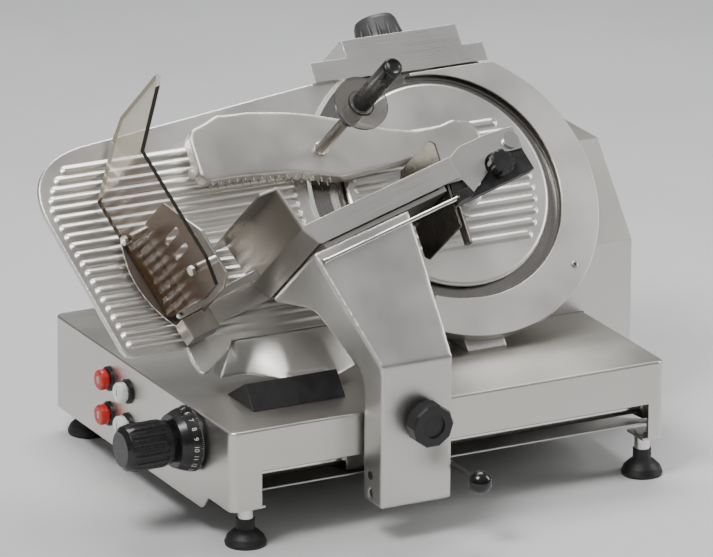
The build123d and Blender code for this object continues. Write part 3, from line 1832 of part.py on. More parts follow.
with BuildPart() as hand_disc:
    with BuildSketch(turn_plane(on_blade(handle_x, handle_v), knife_normal, across)):
        with BuildLine():
            Polyline(
                (grip_r + running, disc_n - 4),
                (grip_r + 4, disc_n - 4),
                (grip_r + 5, disc_n - 1.5),
                (disc_radius, disc_n - 1.5),
                (disc_radius, disc_n + 1.5),
                (grip_r + 5, disc_n + 1.5),
                (grip_r + 4, disc_n + 4),
                (grip_r + running, disc_n + 4),
                close=True,
            )
        make_face()
    revolve(axis=Axis(on_blade(handle_x, handle_v), knife_normal))
save(hand_disc, "hand_disc")

# ------------------------------------------------------------------- hand guard
bend = radians(45)
guard_up = guard_bend_b + 2
rise = guard_panel * cos(bend)
with BuildPart() as hand_guard:
    with BuildSketch(tray_plane(guard_n0)):
        with BuildLine():
            Polyline(
                (guard_a, -14),
                (guard_a + guard_sheet, -14),
                (guard_a + guard_sheet, guard_bend_b),
                (guard_a + guard_sheet + rise, guard_bend_b + rise),
                (
                    guard_a + guard_sheet + rise - guard_sheet * sin(bend),
                    guard_bend_b + rise + guard_sheet * cos(bend),
                ),
                (guard_a, guard_up),
                close=True,
            )
        make_face()
    extrude(amount=guard_n1 - guard_n0)
    with BuildSketch(tray_side(guard_a + guard_sheet + 2)):
        with BuildLine():
            Polyline(
                (guard_n0 - 1, -20),
                (guard_n0 - 1, 4),
                (20, 2),
                (110, -14),
                (152, -13),
                (guard_n1, 21),
                (guard_n1 + 2, 21),
                (guard_n1 + 2, -20),
                close=True,
            )
        make_face()
    extrude(amount=guard_sheet + 4, mode=Mode.SUBTRACT)
    with BuildSketch(tray_side(100)):
        with BuildLine():
            Polyline(
                (guard_n0 - 1, guard_bend_b + rise - 16),
                (guard_n0 + 16, guard_bend_b + rise + 8),
                (guard_n0 - 1, guard_bend_b + rise + 8),
                close=True,
            )
        make_face()
        with BuildLine():
            Polyline(
                (guard_n1 + 1, guard_bend_b + rise - 16),
                (guard_n1 - 16, guard_bend_b + rise + 8),
                (guard_n1 + 1, guard_bend_b + rise + 8),
                close=True,
            )
        make_face()
    extrude(amount=200, mode=Mode.SUBTRACT)
    with BuildSketch(tray_side(guard_a + guard_sheet + 2)):
        with Locations(*spacer_places):
            Circle(spacer_screw + running)
    extrude(amount=guard_sheet + 4, mode=Mode.SUBTRACT)
save(hand_guard, "hand_guard")

with BuildPart() as guard_spacers:
    with BuildSketch(tray_side(bracket_a)):
        with Locations(*spacer_places):
            Circle(spacer_screw)
    extrude(amount=bracket_a - guard_a + 1)
    with BuildSketch(tray_side(bracket_a - seat)):
        with Locations(*spacer_places):
            Circle(6)
    extrude(amount=bracket_a - guard_a - guard_sheet - 2 * seat)
    with BuildSketch(tray_side(guard_a - seat)):
        with Locations(*spacer_places):
            RegularPolygon(6.5, 6)
    extrude(amount=5)
save(guard_spacers, "guard_spacers")

with BuildPart() as guard_bracket:
    with BuildSketch(tray_side(bracket_a + bracket_sheet)):
        with BuildLine():
            Polyline(
                (9, -12),
                (9, 104),
                (22, 121),
                (84, 121),
                (130, 60),
                (130, -2),
                (104, -12),
                close=True,
            )
        make_face()
        with Locations(*spacer_places):
            Circle(spacer_screw + running, mode=Mode.SUBTRACT)
        with Locations((62, 84), (62, 62)):
            SlotOverall(44, 9, mode=Mode.SUBTRACT)
    extrude(amount=bracket_sheet)
    with BuildSketch(tray_plane(tray_back)):
        with BuildLine():
            Polyline(
                (-126, -37),
                (-126, rail_foot_b - seat),
                (rail_foot_a - seat, rail_foot_b - seat),
                (rail_foot_a - seat, -37),
                close=True,
            )
        make_face()
    extrude(amount=24)
save(guard_bracket, "guard_bracket")

with BuildPart() as push_handle:
    push_base = on_tray(push_a, rail_foot_b, push_n)
    with BuildSketch(turn_plane(push_base, tray_up, tray_across)):
        with BuildLine():
            Polyline(
                (0, 0),
                (6, 0),
                (6, 9),
                (push_radius - 2, 9),
                (push_radius, 12),
                (push_radius, push_top - 4),
                (push_radius - 3, push_top),
                (0, push_top),
                close=True,
            )
        make_face()
    revolve(axis=Axis(push_base, tray_up))
save(push_handle, "push_handle")
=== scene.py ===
"""Looks, small details, light and camera for the gravity feed slicer."""

import json
from math import cos, pi, radians, sin, sqrt

import bmesh
import bpy
from mathutils import Matrix, Vector

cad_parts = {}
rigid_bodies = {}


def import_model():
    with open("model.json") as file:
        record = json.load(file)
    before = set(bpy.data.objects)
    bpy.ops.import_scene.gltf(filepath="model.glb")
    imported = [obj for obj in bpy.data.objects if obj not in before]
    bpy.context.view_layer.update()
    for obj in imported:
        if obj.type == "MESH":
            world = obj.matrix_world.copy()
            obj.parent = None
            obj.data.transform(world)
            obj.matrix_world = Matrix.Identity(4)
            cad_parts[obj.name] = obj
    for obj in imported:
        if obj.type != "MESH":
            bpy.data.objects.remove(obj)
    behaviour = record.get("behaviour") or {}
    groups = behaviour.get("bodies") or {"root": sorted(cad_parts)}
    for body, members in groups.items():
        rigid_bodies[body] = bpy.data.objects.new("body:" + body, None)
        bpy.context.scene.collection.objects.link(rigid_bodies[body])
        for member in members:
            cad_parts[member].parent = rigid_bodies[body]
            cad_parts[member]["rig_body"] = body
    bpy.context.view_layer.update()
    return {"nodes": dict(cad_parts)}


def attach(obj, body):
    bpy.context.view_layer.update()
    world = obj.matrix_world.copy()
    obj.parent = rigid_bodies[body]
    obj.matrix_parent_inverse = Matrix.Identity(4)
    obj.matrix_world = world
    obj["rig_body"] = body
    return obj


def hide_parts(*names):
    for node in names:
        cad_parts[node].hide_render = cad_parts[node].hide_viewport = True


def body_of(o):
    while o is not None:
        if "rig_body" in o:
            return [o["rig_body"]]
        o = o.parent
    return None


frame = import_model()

NODES = frame["nodes"]

# ------------------------------------------------------------------ frames
# Sizes and places are in millimetres, as in the solids. Materials, floor and lamps are in metres.
MM = 1000
LEFT, FRONT, TOP = -280.0, -183.5, 155.0
BLADE_LEAN, TRAY_TURN = radians(40), radians(15)
BLADE_Y = 115
TRAY_X, TRAY_V = 130, 141
KNIFE_AT = (435, 227.5)
ACROSS = Vector((1, 0, 0))
UPRIGHT = Vector((0, 0, 1))
OUT_LEFT = Vector((-1, 0, 0))
OUT_FRONT = Vector((0, -1, 0))
UP_SLOPE = Vector((0, sin(BLADE_LEAN), cos(BLADE_LEAN)))
KNIFE_NORMAL = Vector((0, -cos(BLADE_LEAN), sin(BLADE_LEAN)))
TRAY_ACROSS = ACROSS * cos(TRAY_TURN) + UP_SLOPE * sin(TRAY_TURN)
TRAY_UP = UP_SLOPE * cos(TRAY_TURN) - ACROSS * sin(TRAY_TURN)
GUARD_LEAN = (TRAY_UP - TRAY_ACROSS).normalized()
# An axis with this share of another direction can't be the side of it.
TOO_CLOSE = 0.9


def at(x, y, z):
    """A place in metres from millimetres off the base's left front top corner."""
    return Vector((LEFT + x, FRONT + y, TOP + z)) / MM


def blade(x, v, n=0.0):
    """A place in the leaning knife frame: across, up the slope, out of the knife plane."""
    return at(x, BLADE_Y, 0) + (UP_SLOPE * v + KNIFE_NORMAL * n) / MM


def tray(a, b, n=0.0):
    """A place in the tilted tray frame."""
    return blade(TRAY_X, TRAY_V, n) + (TRAY_ACROSS * a + TRAY_UP * b) / MM


def placed(x, y, z, origin):
    """A matrix from three directions and a place."""
    made = Matrix((x, y, z)).transposed().to_4x4()
    made.translation = origin
    return made


def basis(origin, axis, side=None):
    """A matrix whose z runs along axis, with its x near side."""
    z = Vector(axis).normalized()
    x = Vector(side) if side else (ACROSS if abs(z.x) < TOO_CLOSE else -OUT_FRONT)
    x = (x - z * x.dot(z)).normalized()
    return placed(x, z.cross(x), z, origin)


# ------------------------------------------------------------------ shading
class Shade:
    """A principled material and short calls to wire its textures."""

    # Sockets of a colour mix: its share, its two colours and its result.
    MIX_INPUTS = (0, 6, 7)
    MIX_RESULT = 2

    def __init__(self, name, color, metal, rough):
        self.mat = bpy.data.materials.new(name)
        self.mat.use_nodes = True
        self.tree = self.mat.node_tree
        self.bsdf = self.tree.nodes["Principled BSDF"]
        self.set(Base_Color=(*color, 1), Metallic=metal, Roughness=rough)
        self.place = None

    def set(self, **values):
        """Constants of the material, by the names of its sockets."""
        for key, value in values.items():
            self.bsdf.inputs[key.replace("_", " ")].default_value = value

    def node(self, kind, **values):
        """A new node with its own settings."""
        made = self.tree.nodes.new(kind)
        for key, value in values.items():
            setattr(made, key, value)
        return made

    def wire(self, source, socket):
        """Feeds a socket with a number, with a vector or colour, or from another node."""
        if isinstance(source, (int, float)):
            socket.default_value = source
        elif isinstance(source, (tuple, Vector)):
            socket.default_value = tuple(source)
        else:
            self.tree.links.new(source, socket)

    def coords(self):
        """The place on the piece, which all its textures share."""
        if self.place is None:
            self.place = self.node("ShaderNodeTexCoord").outputs["Object"]
        return self.place

    def noise(self, scale, detail, source=None):
        """A noise texture's value, over the piece or over another vector."""
        made = self.node("ShaderNodeTexNoise")
        self.wire(scale, made.inputs["Scale"])
        self.wire(detail, made.inputs["Detail"])
        self.wire(source or self.coords(), made.inputs["Vector"])
        return made.outputs["Fac"]

    def span(self, value, low, high, from_low=0.3, from_high=0.7):
        """The value carried from its own range to low..high."""
        made = self.node("ShaderNodeMapRange")
        self.wire(value, made.inputs["Value"])
        self.wire(from_low, made.inputs["From Min"])
        self.wire(from_high, made.inputs["From Max"])
        self.wire(low, made.inputs["To Min"])
        self.wire(high, made.inputs["To Max"])
        return made.outputs["Result"]

    def math(self, operation, *items):
        """A number worked out from numbers."""
        made = self.node("ShaderNodeMath", operation=operation)
        for socket, item in zip(made.inputs, items):
            self.wire(item, socket)
        return made.outputs["Value"]

    def vector(self, operation, *items, output="Vector"):
        """A vector, or with output="Value" a number, worked out from vectors."""
        made = self.node("ShaderNodeVectorMath", operation=operation)
        for socket, item in zip(made.inputs, items):
            self.wire(item, socket)
        return made.outputs[output]

    def along(self, source, direction):
        """How far a vector reaches along a direction."""
        return self.vector("DOT_PRODUCT", source, direction, output="Value")

    def mix(self, share, low, high):
        """A colour between two colours."""
        made = self.node("ShaderNodeMix", data_type="RGBA")
        for index, item in zip(self.MIX_INPUTS, (share, low, high)):
            self.wire(item, made.inputs[index])
        return made.outputs[self.MIX_RESULT]

    def color(self, source):
        """Feeds the base colour."""
        self.wire(source, self.bsdf.inputs["Base Color"])

    def roughness(self, source):
        """Feeds the roughness."""
        self.wire(source, self.bsdf.inputs["Roughness"])

    def tint(self, value, low, high, from_low=0.35, from_high=0.65):
        """The base colour between two colours by the value."""
        self.color(self.mix(self.span(value, 0, 1, from_low, from_high), (*low, 1), (*high, 1)))

    def lit_beyond(self, origin, direction, color):
        """Another base colour for what lies past a plane, used as painted light."""
        depth = self.along(self.vector("SUBTRACT", self.coords(), origin), direction)
        near = self.bsdf.inputs["Base Color"].links[0].from_socket
        self.color(self.mix(self.math("GREATER_THAN", depth, 0.0), near, (*color, 1)))

    def relief(self, value, depth, strength, soften):
        """A bump of the value over softened edges."""
        bump = self.node("ShaderNodeBump")
        self.wire(strength, bump.inputs["Strength"])
        self.wire(depth, bump.inputs["Distance"])
        self.wire(value, bump.inputs["Height"])
        if soften:
            edge = self.node("ShaderNodeBevel", samples=6)
            self.wire(soften, edge.inputs["Radius"])
            self.wire(edge.outputs["Normal"], bump.inputs["Normal"])
        self.wire(bump.outputs["Normal"], self.bsdf.inputs["Normal"])


def toned(color, factor, lift=0.0):
    """A lighter or darker colour."""
    return tuple(min(1.0, channel * factor + lift) for channel in color)


# Streaks a metre along the brushing, and a metre across it.
STREAKS_ALONG, STREAKS_ACROSS = 9.0, 1500.0
RINGS_PER_METRE = 900.0
# A panel faces its own normal at least this squarely. Anything else is a cut edge.
SQUARE_ON = 0.93
ACRYLIC_IOR = 1.49


def brushed(name, color, rough, along, side=None, contrast=0.05):
    """Brushed sheet: fine long streaks along one way, slow smudges, softened edges."""
    shade = Shade(name, color, 1.0, rough)
    along = Vector(along).normalized()
    side = Vector(side) if side else (UPRIGHT if abs(along.z) < TOO_CLOSE else ACROSS)
    side = (side - along * side.dot(along)).normalized()
    join = shade.node("ShaderNodeCombineXYZ")
    for socket, direction, scale in (
        ("X", along, STREAKS_ALONG),
        ("Y", side, STREAKS_ACROSS),
        ("Z", along.cross(side), STREAKS_ACROSS),
    ):
        reach = shade.along(shade.coords(), direction)
        shade.wire(shade.math("MULTIPLY", reach, scale), join.inputs[socket])
    streaks = shade.noise(scale=1.0, detail=3, source=join.outputs["Vector"])
    smudge = shade.noise(scale=7.0, detail=3)
    streaky = shade.span(streaks, -contrast, contrast)
    smudgy = shade.span(smudge, -0.03, 0.05)
    shade.roughness(shade.math("ADD", shade.math("ADD", streaky, smudgy), rough))
    fine = shade.math("MULTIPLY", streaks, 0.4)
    slow = shade.math("MULTIPLY", smudge, 0.6)
    shade.tint(shade.math("ADD", fine, slow), toned(color, 0.95), toned(color, 1.03), 0.38, 0.62)
    shade.relief(streaks, depth=0.000012, strength=0.4, soften=0.0008)
    return shade


def cast(name, color, rough, soften):
    """Fine blasted or anodised aluminium with slow tone changes."""
    shade = Shade(name, color, 1.0, rough)
    cloud = shade.noise(scale=11.0, detail=4)
    shade.roughness(shade.math("ADD", shade.span(cloud, -0.05, 0.06), rough))
    shade.tint(cloud, toned(color, 0.93), toned(color, 1.04))
    shade.relief(shade.noise(scale=2200.0, detail=2), depth=0.00004, strength=0.45, soften=soften)
    return shade


def ringed(name, color, rough, centre):
    """A turned face: fine rings about the knife's axis."""
    shade = Shade(name, color, 1.0, rough)
    offset = shade.vector("SUBTRACT", shade.coords(), centre)
    radius = shade.vector(
        "LENGTH", shade.vector("CROSS_PRODUCT", offset, KNIFE_NORMAL), output="Value"
    )
    join = shade.node("ShaderNodeCombineXYZ")
    shade.wire(shade.math("MULTIPLY", radius, RINGS_PER_METRE), join.inputs["X"])
    lines = shade.noise(scale=1.0, detail=3, source=join.outputs["Vector"])
    cloud = shade.noise(scale=14.0, detail=3)
    uneven = shade.math("ADD", shade.span(lines, -0.06, 0.06), shade.span(cloud, -0.04, 0.04))
    shade.roughness(shade.math("ADD", uneven, rough))
    shade.tint(lines, toned(color, 0.85), color)
    shade.relief(lines, depth=0.00002, strength=0.5, soften=0.0)
    return shade


def plastic(name, color, rough, fine=1500.0, grain=0.00003, soften=0.0006):
    """A moulding with a faint grain and handling marks."""
    shade = Shade(name, color, 0.0, rough)
    marks = shade.noise(scale=60.0, detail=4)
    shade.roughness(shade.math("ADD", shade.span(marks, -0.06, 0.08), rough))
    shade.tint(marks, toned(color, 0.85), toned(color, 1.2, 0.003))
    shade.relief(shade.noise(scale=fine, detail=2), depth=grain, strength=0.4, soften=soften)
    return shade


def polished(name, color, low, high):
    """Polished steel with faint wipe marks."""
    shade = Shade(name, color, 1.0, low)
    shade.roughness(shade.span(shade.noise(scale=40.0, detail=3), low, high))
    return shade


def clear(name, panels, edge_color, rough=0.05):
    """A tinted see-through sheet whose cut edges look dark and solid.

    Each panel is (its normal, its tint, how much it hides).
    """
    shade = Shade(name, edge_color, 0.0, rough)
    normal = shade.node("ShaderNodeNewGeometry").outputs["True Normal"]
    smudge = shade.noise(scale=30.0, detail=4)
    tint = (*edge_color, 1)
    through = 0.0
    for direction, color, hides in panels:
        turned_to = shade.math("ABSOLUTE", shade.along(normal, direction))
        face = shade.math("GREATER_THAN", turned_to, SQUARE_ON)
        tint = shade.mix(face, tint, (*color, 1))
        cloudy = shade.span(smudge, 1.02 - hides, 0.98 - hides)
        through = shade.math("ADD", through, shade.math("MULTIPLY", face, cloudy))
    shade.color(tint)
    shade.wire(shade.math("SUBTRACT", 1.0, through), shade.bsdf.inputs["Alpha"])
    shade.roughness(shade.span(smudge, rough * 0.6, rough * 1.8))
    shade.set(IOR=ACRYLIC_IOR)
    return shade


# ------------------------------------------------------------------ finishes
mat_shell = brushed("shell_steel", (0.66, 0.645, 0.61), 0.34, ACROSS)
mat_housing = brushed("housing_steel", (0.7, 0.69, 0.66), 0.36, UPRIGHT, contrast=0.04)
# The trough's steel is painted dark as painted shade; only its rim gets the lit colour.
mat_trough = brushed("trough_steel", (0.4, 0.38, 0.345), 0.3, TRAY_ACROSS, TRAY_UP, 0.04)
# The trough's rolled rim lies over this height above the knife plane, and is painted lighter
# there as painted light.
TROUGH_RIM = 178.5
mat_trough.lit_beyond(blade(0, 0, TROUGH_RIM), KNIFE_NORMAL, (0.74, 0.73, 0.7))
mat_sheet = brushed("sheet_steel", (0.72, 0.71, 0.68), 0.3, TRAY_ACROSS, TRAY_UP, 0.03)
# The fence plate is steel painted nearly black: painted shade and a painted dark reflection.
mat_painted_shade_sheet = brushed("painted_shade_steel", (0.2, 0.185, 0.165), 0.26, UP_SLOPE, ACROSS, 0.03)
mat_bow = brushed("bow_steel", (0.42, 0.39, 0.35), 0.32, TRAY_UP, TRAY_ACROSS, 0.03)
mat_lid = brushed("lid_steel", (0.74, 0.73, 0.71), 0.3, ACROSS, UP_SLOPE, 0.03)
mat_pan = brushed("pan_steel", (0.5, 0.49, 0.47), 0.4, ACROSS)
mat_rod = brushed("rod_steel", (0.6, 0.585, 0.55), 0.22, KNIFE_NORMAL, contrast=0.04)
mat_machined = brushed("machined_steel", (0.5, 0.49, 0.47), 0.34, UP_SLOPE)
mat_screw = brushed("screw_steel", (0.6, 0.58, 0.54), 0.26, KNIFE_NORMAL)
mat_chrome = polished("polished_steel", (0.8, 0.79, 0.77), 0.08, 0.2)
mat_knife = ringed("knife_steel", (0.36, 0.345, 0.33), 0.24, blade(*KNIFE_AT))
mat_gauge = cast("gauge_alloy", (0.78, 0.765, 0.735), 0.33, soften=0.0024)
mat_ring = cast("ring_alloy", (0.76, 0.745, 0.715), 0.36, soften=0.0012)
mat_cover = cast("cover_alloy", (0.77, 0.755, 0.725), 0.34, soften=0.0022)
mat_arm = cast("arm_alloy", (0.66, 0.65, 0.625), 0.37, soften=0.004)
mat_press = cast("press_alloy", (0.68, 0.665, 0.63), 0.36, soften=0.005)
mat_support = cast("support_alloy", (0.68, 0.67, 0.65), 0.4, soften=0.003)
mat_black = plastic("black_plastic", (0.012, 0.012, 0.013), 0.36)
mat_grip = plastic("black_grip", (0.009, 0.009, 0.01), 0.24)
mat_gloss = plastic("black_gloss", (0.005, 0.005, 0.005), 0.2, 300.0, 0.000001, 0.0)
mat_gloss.set(Coat_Weight=0.25, Coat_Roughness=0.08)
mat_red = plastic("red_plastic", (0.55, 0.02, 0.015), 0.3, grain=0.00001)
mat_white = plastic("white_plastic", (0.86, 0.86, 0.84), 0.28, grain=0.00001)
mat_mark = plastic("white_mark", (0.75, 0.75, 0.73), 0.5, grain=0.00001)
mat_mark_dark = plastic("dark_mark", (0.03, 0.03, 0.03), 0.5, grain=0.00001)
mat_grey = plastic("grey_plastic", (0.05, 0.05, 0.052), 0.4)
mat_nylon = plastic("white_nylon", (0.72, 0.7, 0.64), 0.35, grain=0.00001)
# Near black for holes and sockets: painted shade.
mat_hole_shade = plastic("painted_hole_shade", (0.008, 0.008, 0.008), 0.6)
mat_rubber = plastic("foot_rubber", (0.011, 0.011, 0.011), 0.5, fine=900.0, grain=0.00008)
mat_belt = plastic("belt_rubber", (0.015, 0.015, 0.015), 0.6)
mat_motor = plastic("motor_paint", (0.12, 0.125, 0.13), 0.45)
mat_stone = plastic("grit_stone", (0.42, 0.38, 0.33), 0.85, fine=700.0, grain=0.0004)
GUARD_PANELS = (
    (TRAY_ACROSS, (0.1, 0.045, 0.008), 0.38),
    (GUARD_LEAN, (0.58, 0.5, 0.37), 0.5),
)
mat_guard = clear("brown_clear", GUARD_PANELS, (0.02, 0.017, 0.013))
DISC_PANELS = ((KNIFE_NORMAL, (0.16, 0.15, 0.14), 0.5),)
mat_disc = clear("grey_clear", DISC_PANELS, (0.03, 0.03, 0.03), 0.1)

DRESSED = (
    (mat_shell, "base_shell"),
    (mat_pan, "base_pan"),
    (mat_housing, "motor_housing"),
    (mat_trough, "tray_trough"),
    (mat_lid, "sharpener_cover"),
    (mat_sheet, "rear_rail", "end_plate"),
    (mat_painted_shade_sheet, "fence_plate"),
    (mat_ring, "guard_ring"),
    (mat_support, "knife_support"),
    (mat_knife, "knife"),
    (mat_chrome, "foot_studs", "guide_rods", "tray_rod", "press_rod", "press_sleeve"),
    (mat_chrome, "arm_pivot_pin", "knife_shaft", "thickness_shaft", "cover_tie_rod"),
    (mat_machined, "inner_brackets", "sharpener_body", "gauge_slide_block", "carriage_block"),
    (mat_machined, "tray_base", "shaft_bearings"),
    (mat_machined, "knife_pulley", "motor_pulley", "drive_pulley", "idler_pulley"),
    (mat_screw, "guard_spacers"),
    (mat_black, "panel_bezels", "slot_cover", "switch_blocks"),
    (mat_black, "arm_knob", "tray_knob", "end_block"),
    (mat_grip, "thickness_knob", "thickness_skirt"),
    (mat_red, "stop_button_upper", "stop_button_lower"),
    (mat_white, "start_button_upper", "start_button_lower"),
    (mat_grey, "sharpener_knob"),
    (mat_rubber, "rubber_feet"),
    (mat_belt, "drive_belts"),
    (mat_motor, "knife_motor", "carriage_motor"),
    (mat_stone, "sharpener_stones"),
    (mat_guard, "hand_guard"),
    (mat_disc, "hand_disc"),
)
for shade, *names in DRESSED:
    for name in names:
        slots = NODES[name].data.materials
        slots.clear()
        slots.append(shade.mat)


# ------------------------------------------------------------------ making meshes
def finished(work, name):
    """The mesh of what was drawn, with its faces turned outward."""
    bmesh.ops.recalc_face_normals(work, faces=work.faces)
    mesh = bpy.data.meshes.new(name)
    work.to_mesh(mesh)
    work.free()
    return mesh


def loft(work, rings, smooth=False):
    """A closed body through rings of vertices, with flat ends."""
    for low, high in zip(rings, rings[1:]):
        for step in range(len(low)):
            after = (step + 1) % len(low)
            face = work.faces.new((low[step], low[after], high[after], high[step]))
            face.smooth = smooth
    work.faces.new(list(reversed(rings[0])))
    work.faces.new(rings[-1])


def turn(work, place, profile, steps, smooth=True):
    """A turned body: profile is (radius, height) along the place's z."""
    rings = []
    for radius, height in profile:
        ring = []
        for step in range(steps):
            angle = 2 * pi * step / steps
            spot = Vector((radius * cos(angle), radius * sin(angle), height)) / MM
            ring.append(work.verts.new(place @ spot))
        rings.append(ring)
    loft(work, rings, smooth)


def turned(name, places, profile, steps=24, smooth=True):
    """A mesh of equal turned bodies."""
    work = bmesh.new()
    for place in places:
        turn(work, place, profile, steps, smooth)
    return finished(work, name)


def plate(work, outline, low, high, point):
    """A flat plate of an outline between two heights over its frame's plane."""
    loft(work, [[work.verts.new(point(a, b, n)) for a, b in outline] for n in (low, high)])


# Shares of a rib's half width and of its height, from its foot to its crown.
RIB_SECTION = ((0.0, 0.0), (0.25, 0.6), (0.6, 1.0))
RIB_ROOT = 1.2
RIB_STEPS = 20


def ribs(work, rows, floor, height, half):
    """Raised fingers with round ends in the knife frame: rows are (left, right, v)."""
    levels = [(0.0, floor - RIB_ROOT)]
    levels += [(half * inset, floor + height * rise) for inset, rise in RIB_SECTION]
    for left, right, v in rows:
        rings = []
        for inset, top in levels:
            reach = half - inset
            ring = []
            for step in range(RIB_STEPS):
                angle = 2 * pi * step / RIB_STEPS
                middle = right - half if cos(angle) > 0 else left + half
                spot = blade(middle + reach * cos(angle), v + reach * sin(angle), top)
                ring.append(work.verts.new(spot))
            rings.append(ring)
        loft(work, rings)


def softened(mesh, voxel, rounds):
    """One closed skin round everything in the mesh, with its edges rounded."""
    made = bpy.data.objects.new("form", mesh)
    bpy.context.scene.collection.objects.link(made)
    remesh = made.modifiers.new("remesh", "REMESH")
    remesh.mode = "VOXEL"
    remesh.voxel_size = voxel / MM
    remesh.use_smooth_shade = True
    smooth = made.modifiers.new("smooth", "SMOOTH")
    smooth.factor = 0.5
    smooth.iterations = rounds
    bpy.context.view_layer.update()
    graph = bpy.context.evaluated_depsgraph_get()
    skin = bpy.data.meshes.new_from_object(made.evaluated_get(graph))
    bpy.data.objects.remove(made)
    for polygon in skin.polygons:
        polygon.use_smooth = True
    return skin


# ------------------------------------------------------------------ making pieces
def piece(name, mesh, shade, body, stands_for=None):
    """A finished mesh as a piece that rides on a body, and may stand for a node."""
    made = bpy.data.objects.new(name, mesh)
    bpy.context.scene.collection.objects.link(made)
    mesh.materials.clear()
    mesh.materials.append(shade.mat)
    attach(made, body)
    if stands_for:
        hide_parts(stands_for)


def rounded_copy(node, name, shade, voxel, rounds, trim=None):
    """A copy of a plain casting with its edges rounded, which stands for it."""
    source = NODES[node]
    mesh = source.data.copy()
    if trim:
        for vertex in mesh.vertices:
            vertex.co = trim(vertex.co)
    piece(name, softened(mesh, voxel, rounds), shade, body_of(source)[0], node)


def slab(name, outline, low, high, shade, body, point=tray):
    """A flat plate as a piece of its own."""
    work = bmesh.new()
    plate(work, outline, low, high, point)
    piece(name, finished(work, name), shade, body)


# Shares of a screw's radius and height, and millimetres added to the height.
SCREW_HEAD = (
    (0.98, 0.0, -0.2),
    (1.0, 0.0, 0.1),
    (1.0, 0.55, 0.0),
    (0.9, 0.85, 0.0),
    (0.72, 1.0, 0.0),
    (0.5, 1.0, 0.0),
)
# The socket is a thin hexagon over the head, painted dark as painted shade.
SCREW_SOCKET = ((0.44, 1.0, -0.3), (0.46, 1.0, 0.05), (0.4, 1.0, 0.08))
HEXAGON = 6


def screw_profile(shape, radius, height):
    """A screw's turned outline at its real size."""
    return [(radius * share, height * rise + lift) for share, rise, lift in shape]


def screws(name, places, radius, height, body):
    """Cap screws with a rounded head, and a flat dark hexagon on it painted as the socket's
    shade.
    """
    head = screw_profile(SCREW_HEAD, radius, height)
    piece(name, turned(name, places, head), mat_screw, body)
    socket = screw_profile(SCREW_SOCKET, radius, height)
    name += "_socket"
    dark = turned(name, places, socket, HEXAGON, smooth=False)
    piece(name, dark, mat_hole_shade, body)


TEXT_THICKNESS = 0.2


def text_piece(name, words, place, size, shade, body):
    """A raised printed mark, set on its face."""
    curve = bpy.data.curves.new(name, "FONT")
    curve.body = words
    curve.size = size / MM
    curve.align_x = "CENTER"
    curve.align_y = "CENTER"
    curve.extrude = TEXT_THICKNESS / 2 / MM
    curve.resolution_u = 4
    made = bpy.data.objects.new(name, curve)
    bpy.context.scene.collection.objects.link(made)
    made.matrix_world = place
    bpy.context.view_layer.update()
    mesh = bpy.data.meshes.new_from_object(made)
    mesh.transform(place)
    bpy.data.objects.remove(made)
    piece(name, mesh, shade, body)


# ------------------------------------------------------------------ outlines
def circle_left(centre, radius, v):
    """The x where the left side of a circle passes the height v."""
    return centre[0] - sqrt(radius * radius - (v - centre[1]) ** 2)


def bent(start, middle, end, steps):
    """Points of a curve after its start, drawn toward a middle point."""
    points = []
    for count in range(1, steps + 1):
        t = count / steps
        points.append(
            tuple(
                a * (1 - t) ** 2 + 2 * b * t * (1 - t) + c * t * t
                for a, b, c in zip(start, middle, end)
            )
        )
    return points


# The press arm's lower edge, level up to its first corner, and the width its spikes take.
PRESS_EDGE = ((146, 271), (215, 266), (279, 250))
SPIKES_LEFT, SPIKES_RIGHT = 100, 275
SPIKE_ROOT, SPIKE_MARGIN = 4, 0.4


def press_bottom(x):
    """The v of the press arm's lower edge over its spikes."""
    (x_0, v_0), (x_1, v_1), (x_2, v_2) = PRESS_EDGE
    if x < x_0:
        return v_0
    if x < x_1:
        return v_0 + (v_1 - v_0) * (x - x_0) / (x_1 - x_0)
    return v_1 + (v_2 - v_1) * (x - x_1) / (x_2 - x_1)


def spikeless(spot):
    """Draws the spikes' ends back into the arm, because they are made apart."""
    offset = (spot - at(0, BLADE_Y, 0)) * MM
    x, v = offset.x, offset.dot(UP_SLOPE)
    if SPIKES_LEFT < x < SPIKES_RIGHT and v < press_bottom(x) - SPIKE_MARGIN:
        return spot + UP_SLOPE * (press_bottom(x) + SPIKE_ROOT - v) / MM
    return spot


# ------------------------------------------------------------------ castings
rounded_copy("arm_casting", "arm_cast", mat_arm, voxel=1.8, rounds=20)
rounded_copy(
    "press_arm",
    "press_cast",
    mat_press,
    voxel=1.3,
    rounds=22,
    trim=spikeless,
)

# The gauge plate's right edge follows the knife's circle, and its ribs stop short of it.
GAUGE_BACK, GAUGE_FACE = -13.4, -5.4
GAUGE_RADIUS, GAUGE_RIB_RADIUS = 188.5, 205.5
GAUGE_ARC_HIGH, GAUGE_ARC_LOW, GAUGE_ARC_STEPS = 393.1, 99, 48
GAUGE_TOP = [(285, 390), (345, 394.8)]
GAUGE_FOOT = [(290, 75), (84, 75)]
GAUGE_FOOT += [(78, 66), (60, 52), (42, 40), (36, 39), (31, 43), (26, 56), (25, 75)]
GAUGE_LEFT = [(-50, 75), (-58, 78), (-62, 86), (-78, 152), (-105, 262)]
GAUGE_SHOULDER, GAUGE_SHOULDER_END, GAUGE_SHOULDER_STEPS = (-122, 338), (-38, 354.5), 12
GAUGE_RIBS, GAUGE_RIB_PITCH, GAUGE_RIB_TOP = 20, 12.4, 326
GAUGE_RIB_HEIGHT, GAUGE_RIB_HALF = 2.9, 5.7
# The ribs' left ends lie farthest out at one height, in a curve above it and a line below it.
GAUGE_RIB_LEFT, GAUGE_RIB_BEND = -98, 273
GAUGE_RIB_CURVE, GAUGE_RIB_SLOPE = 95, 0.248

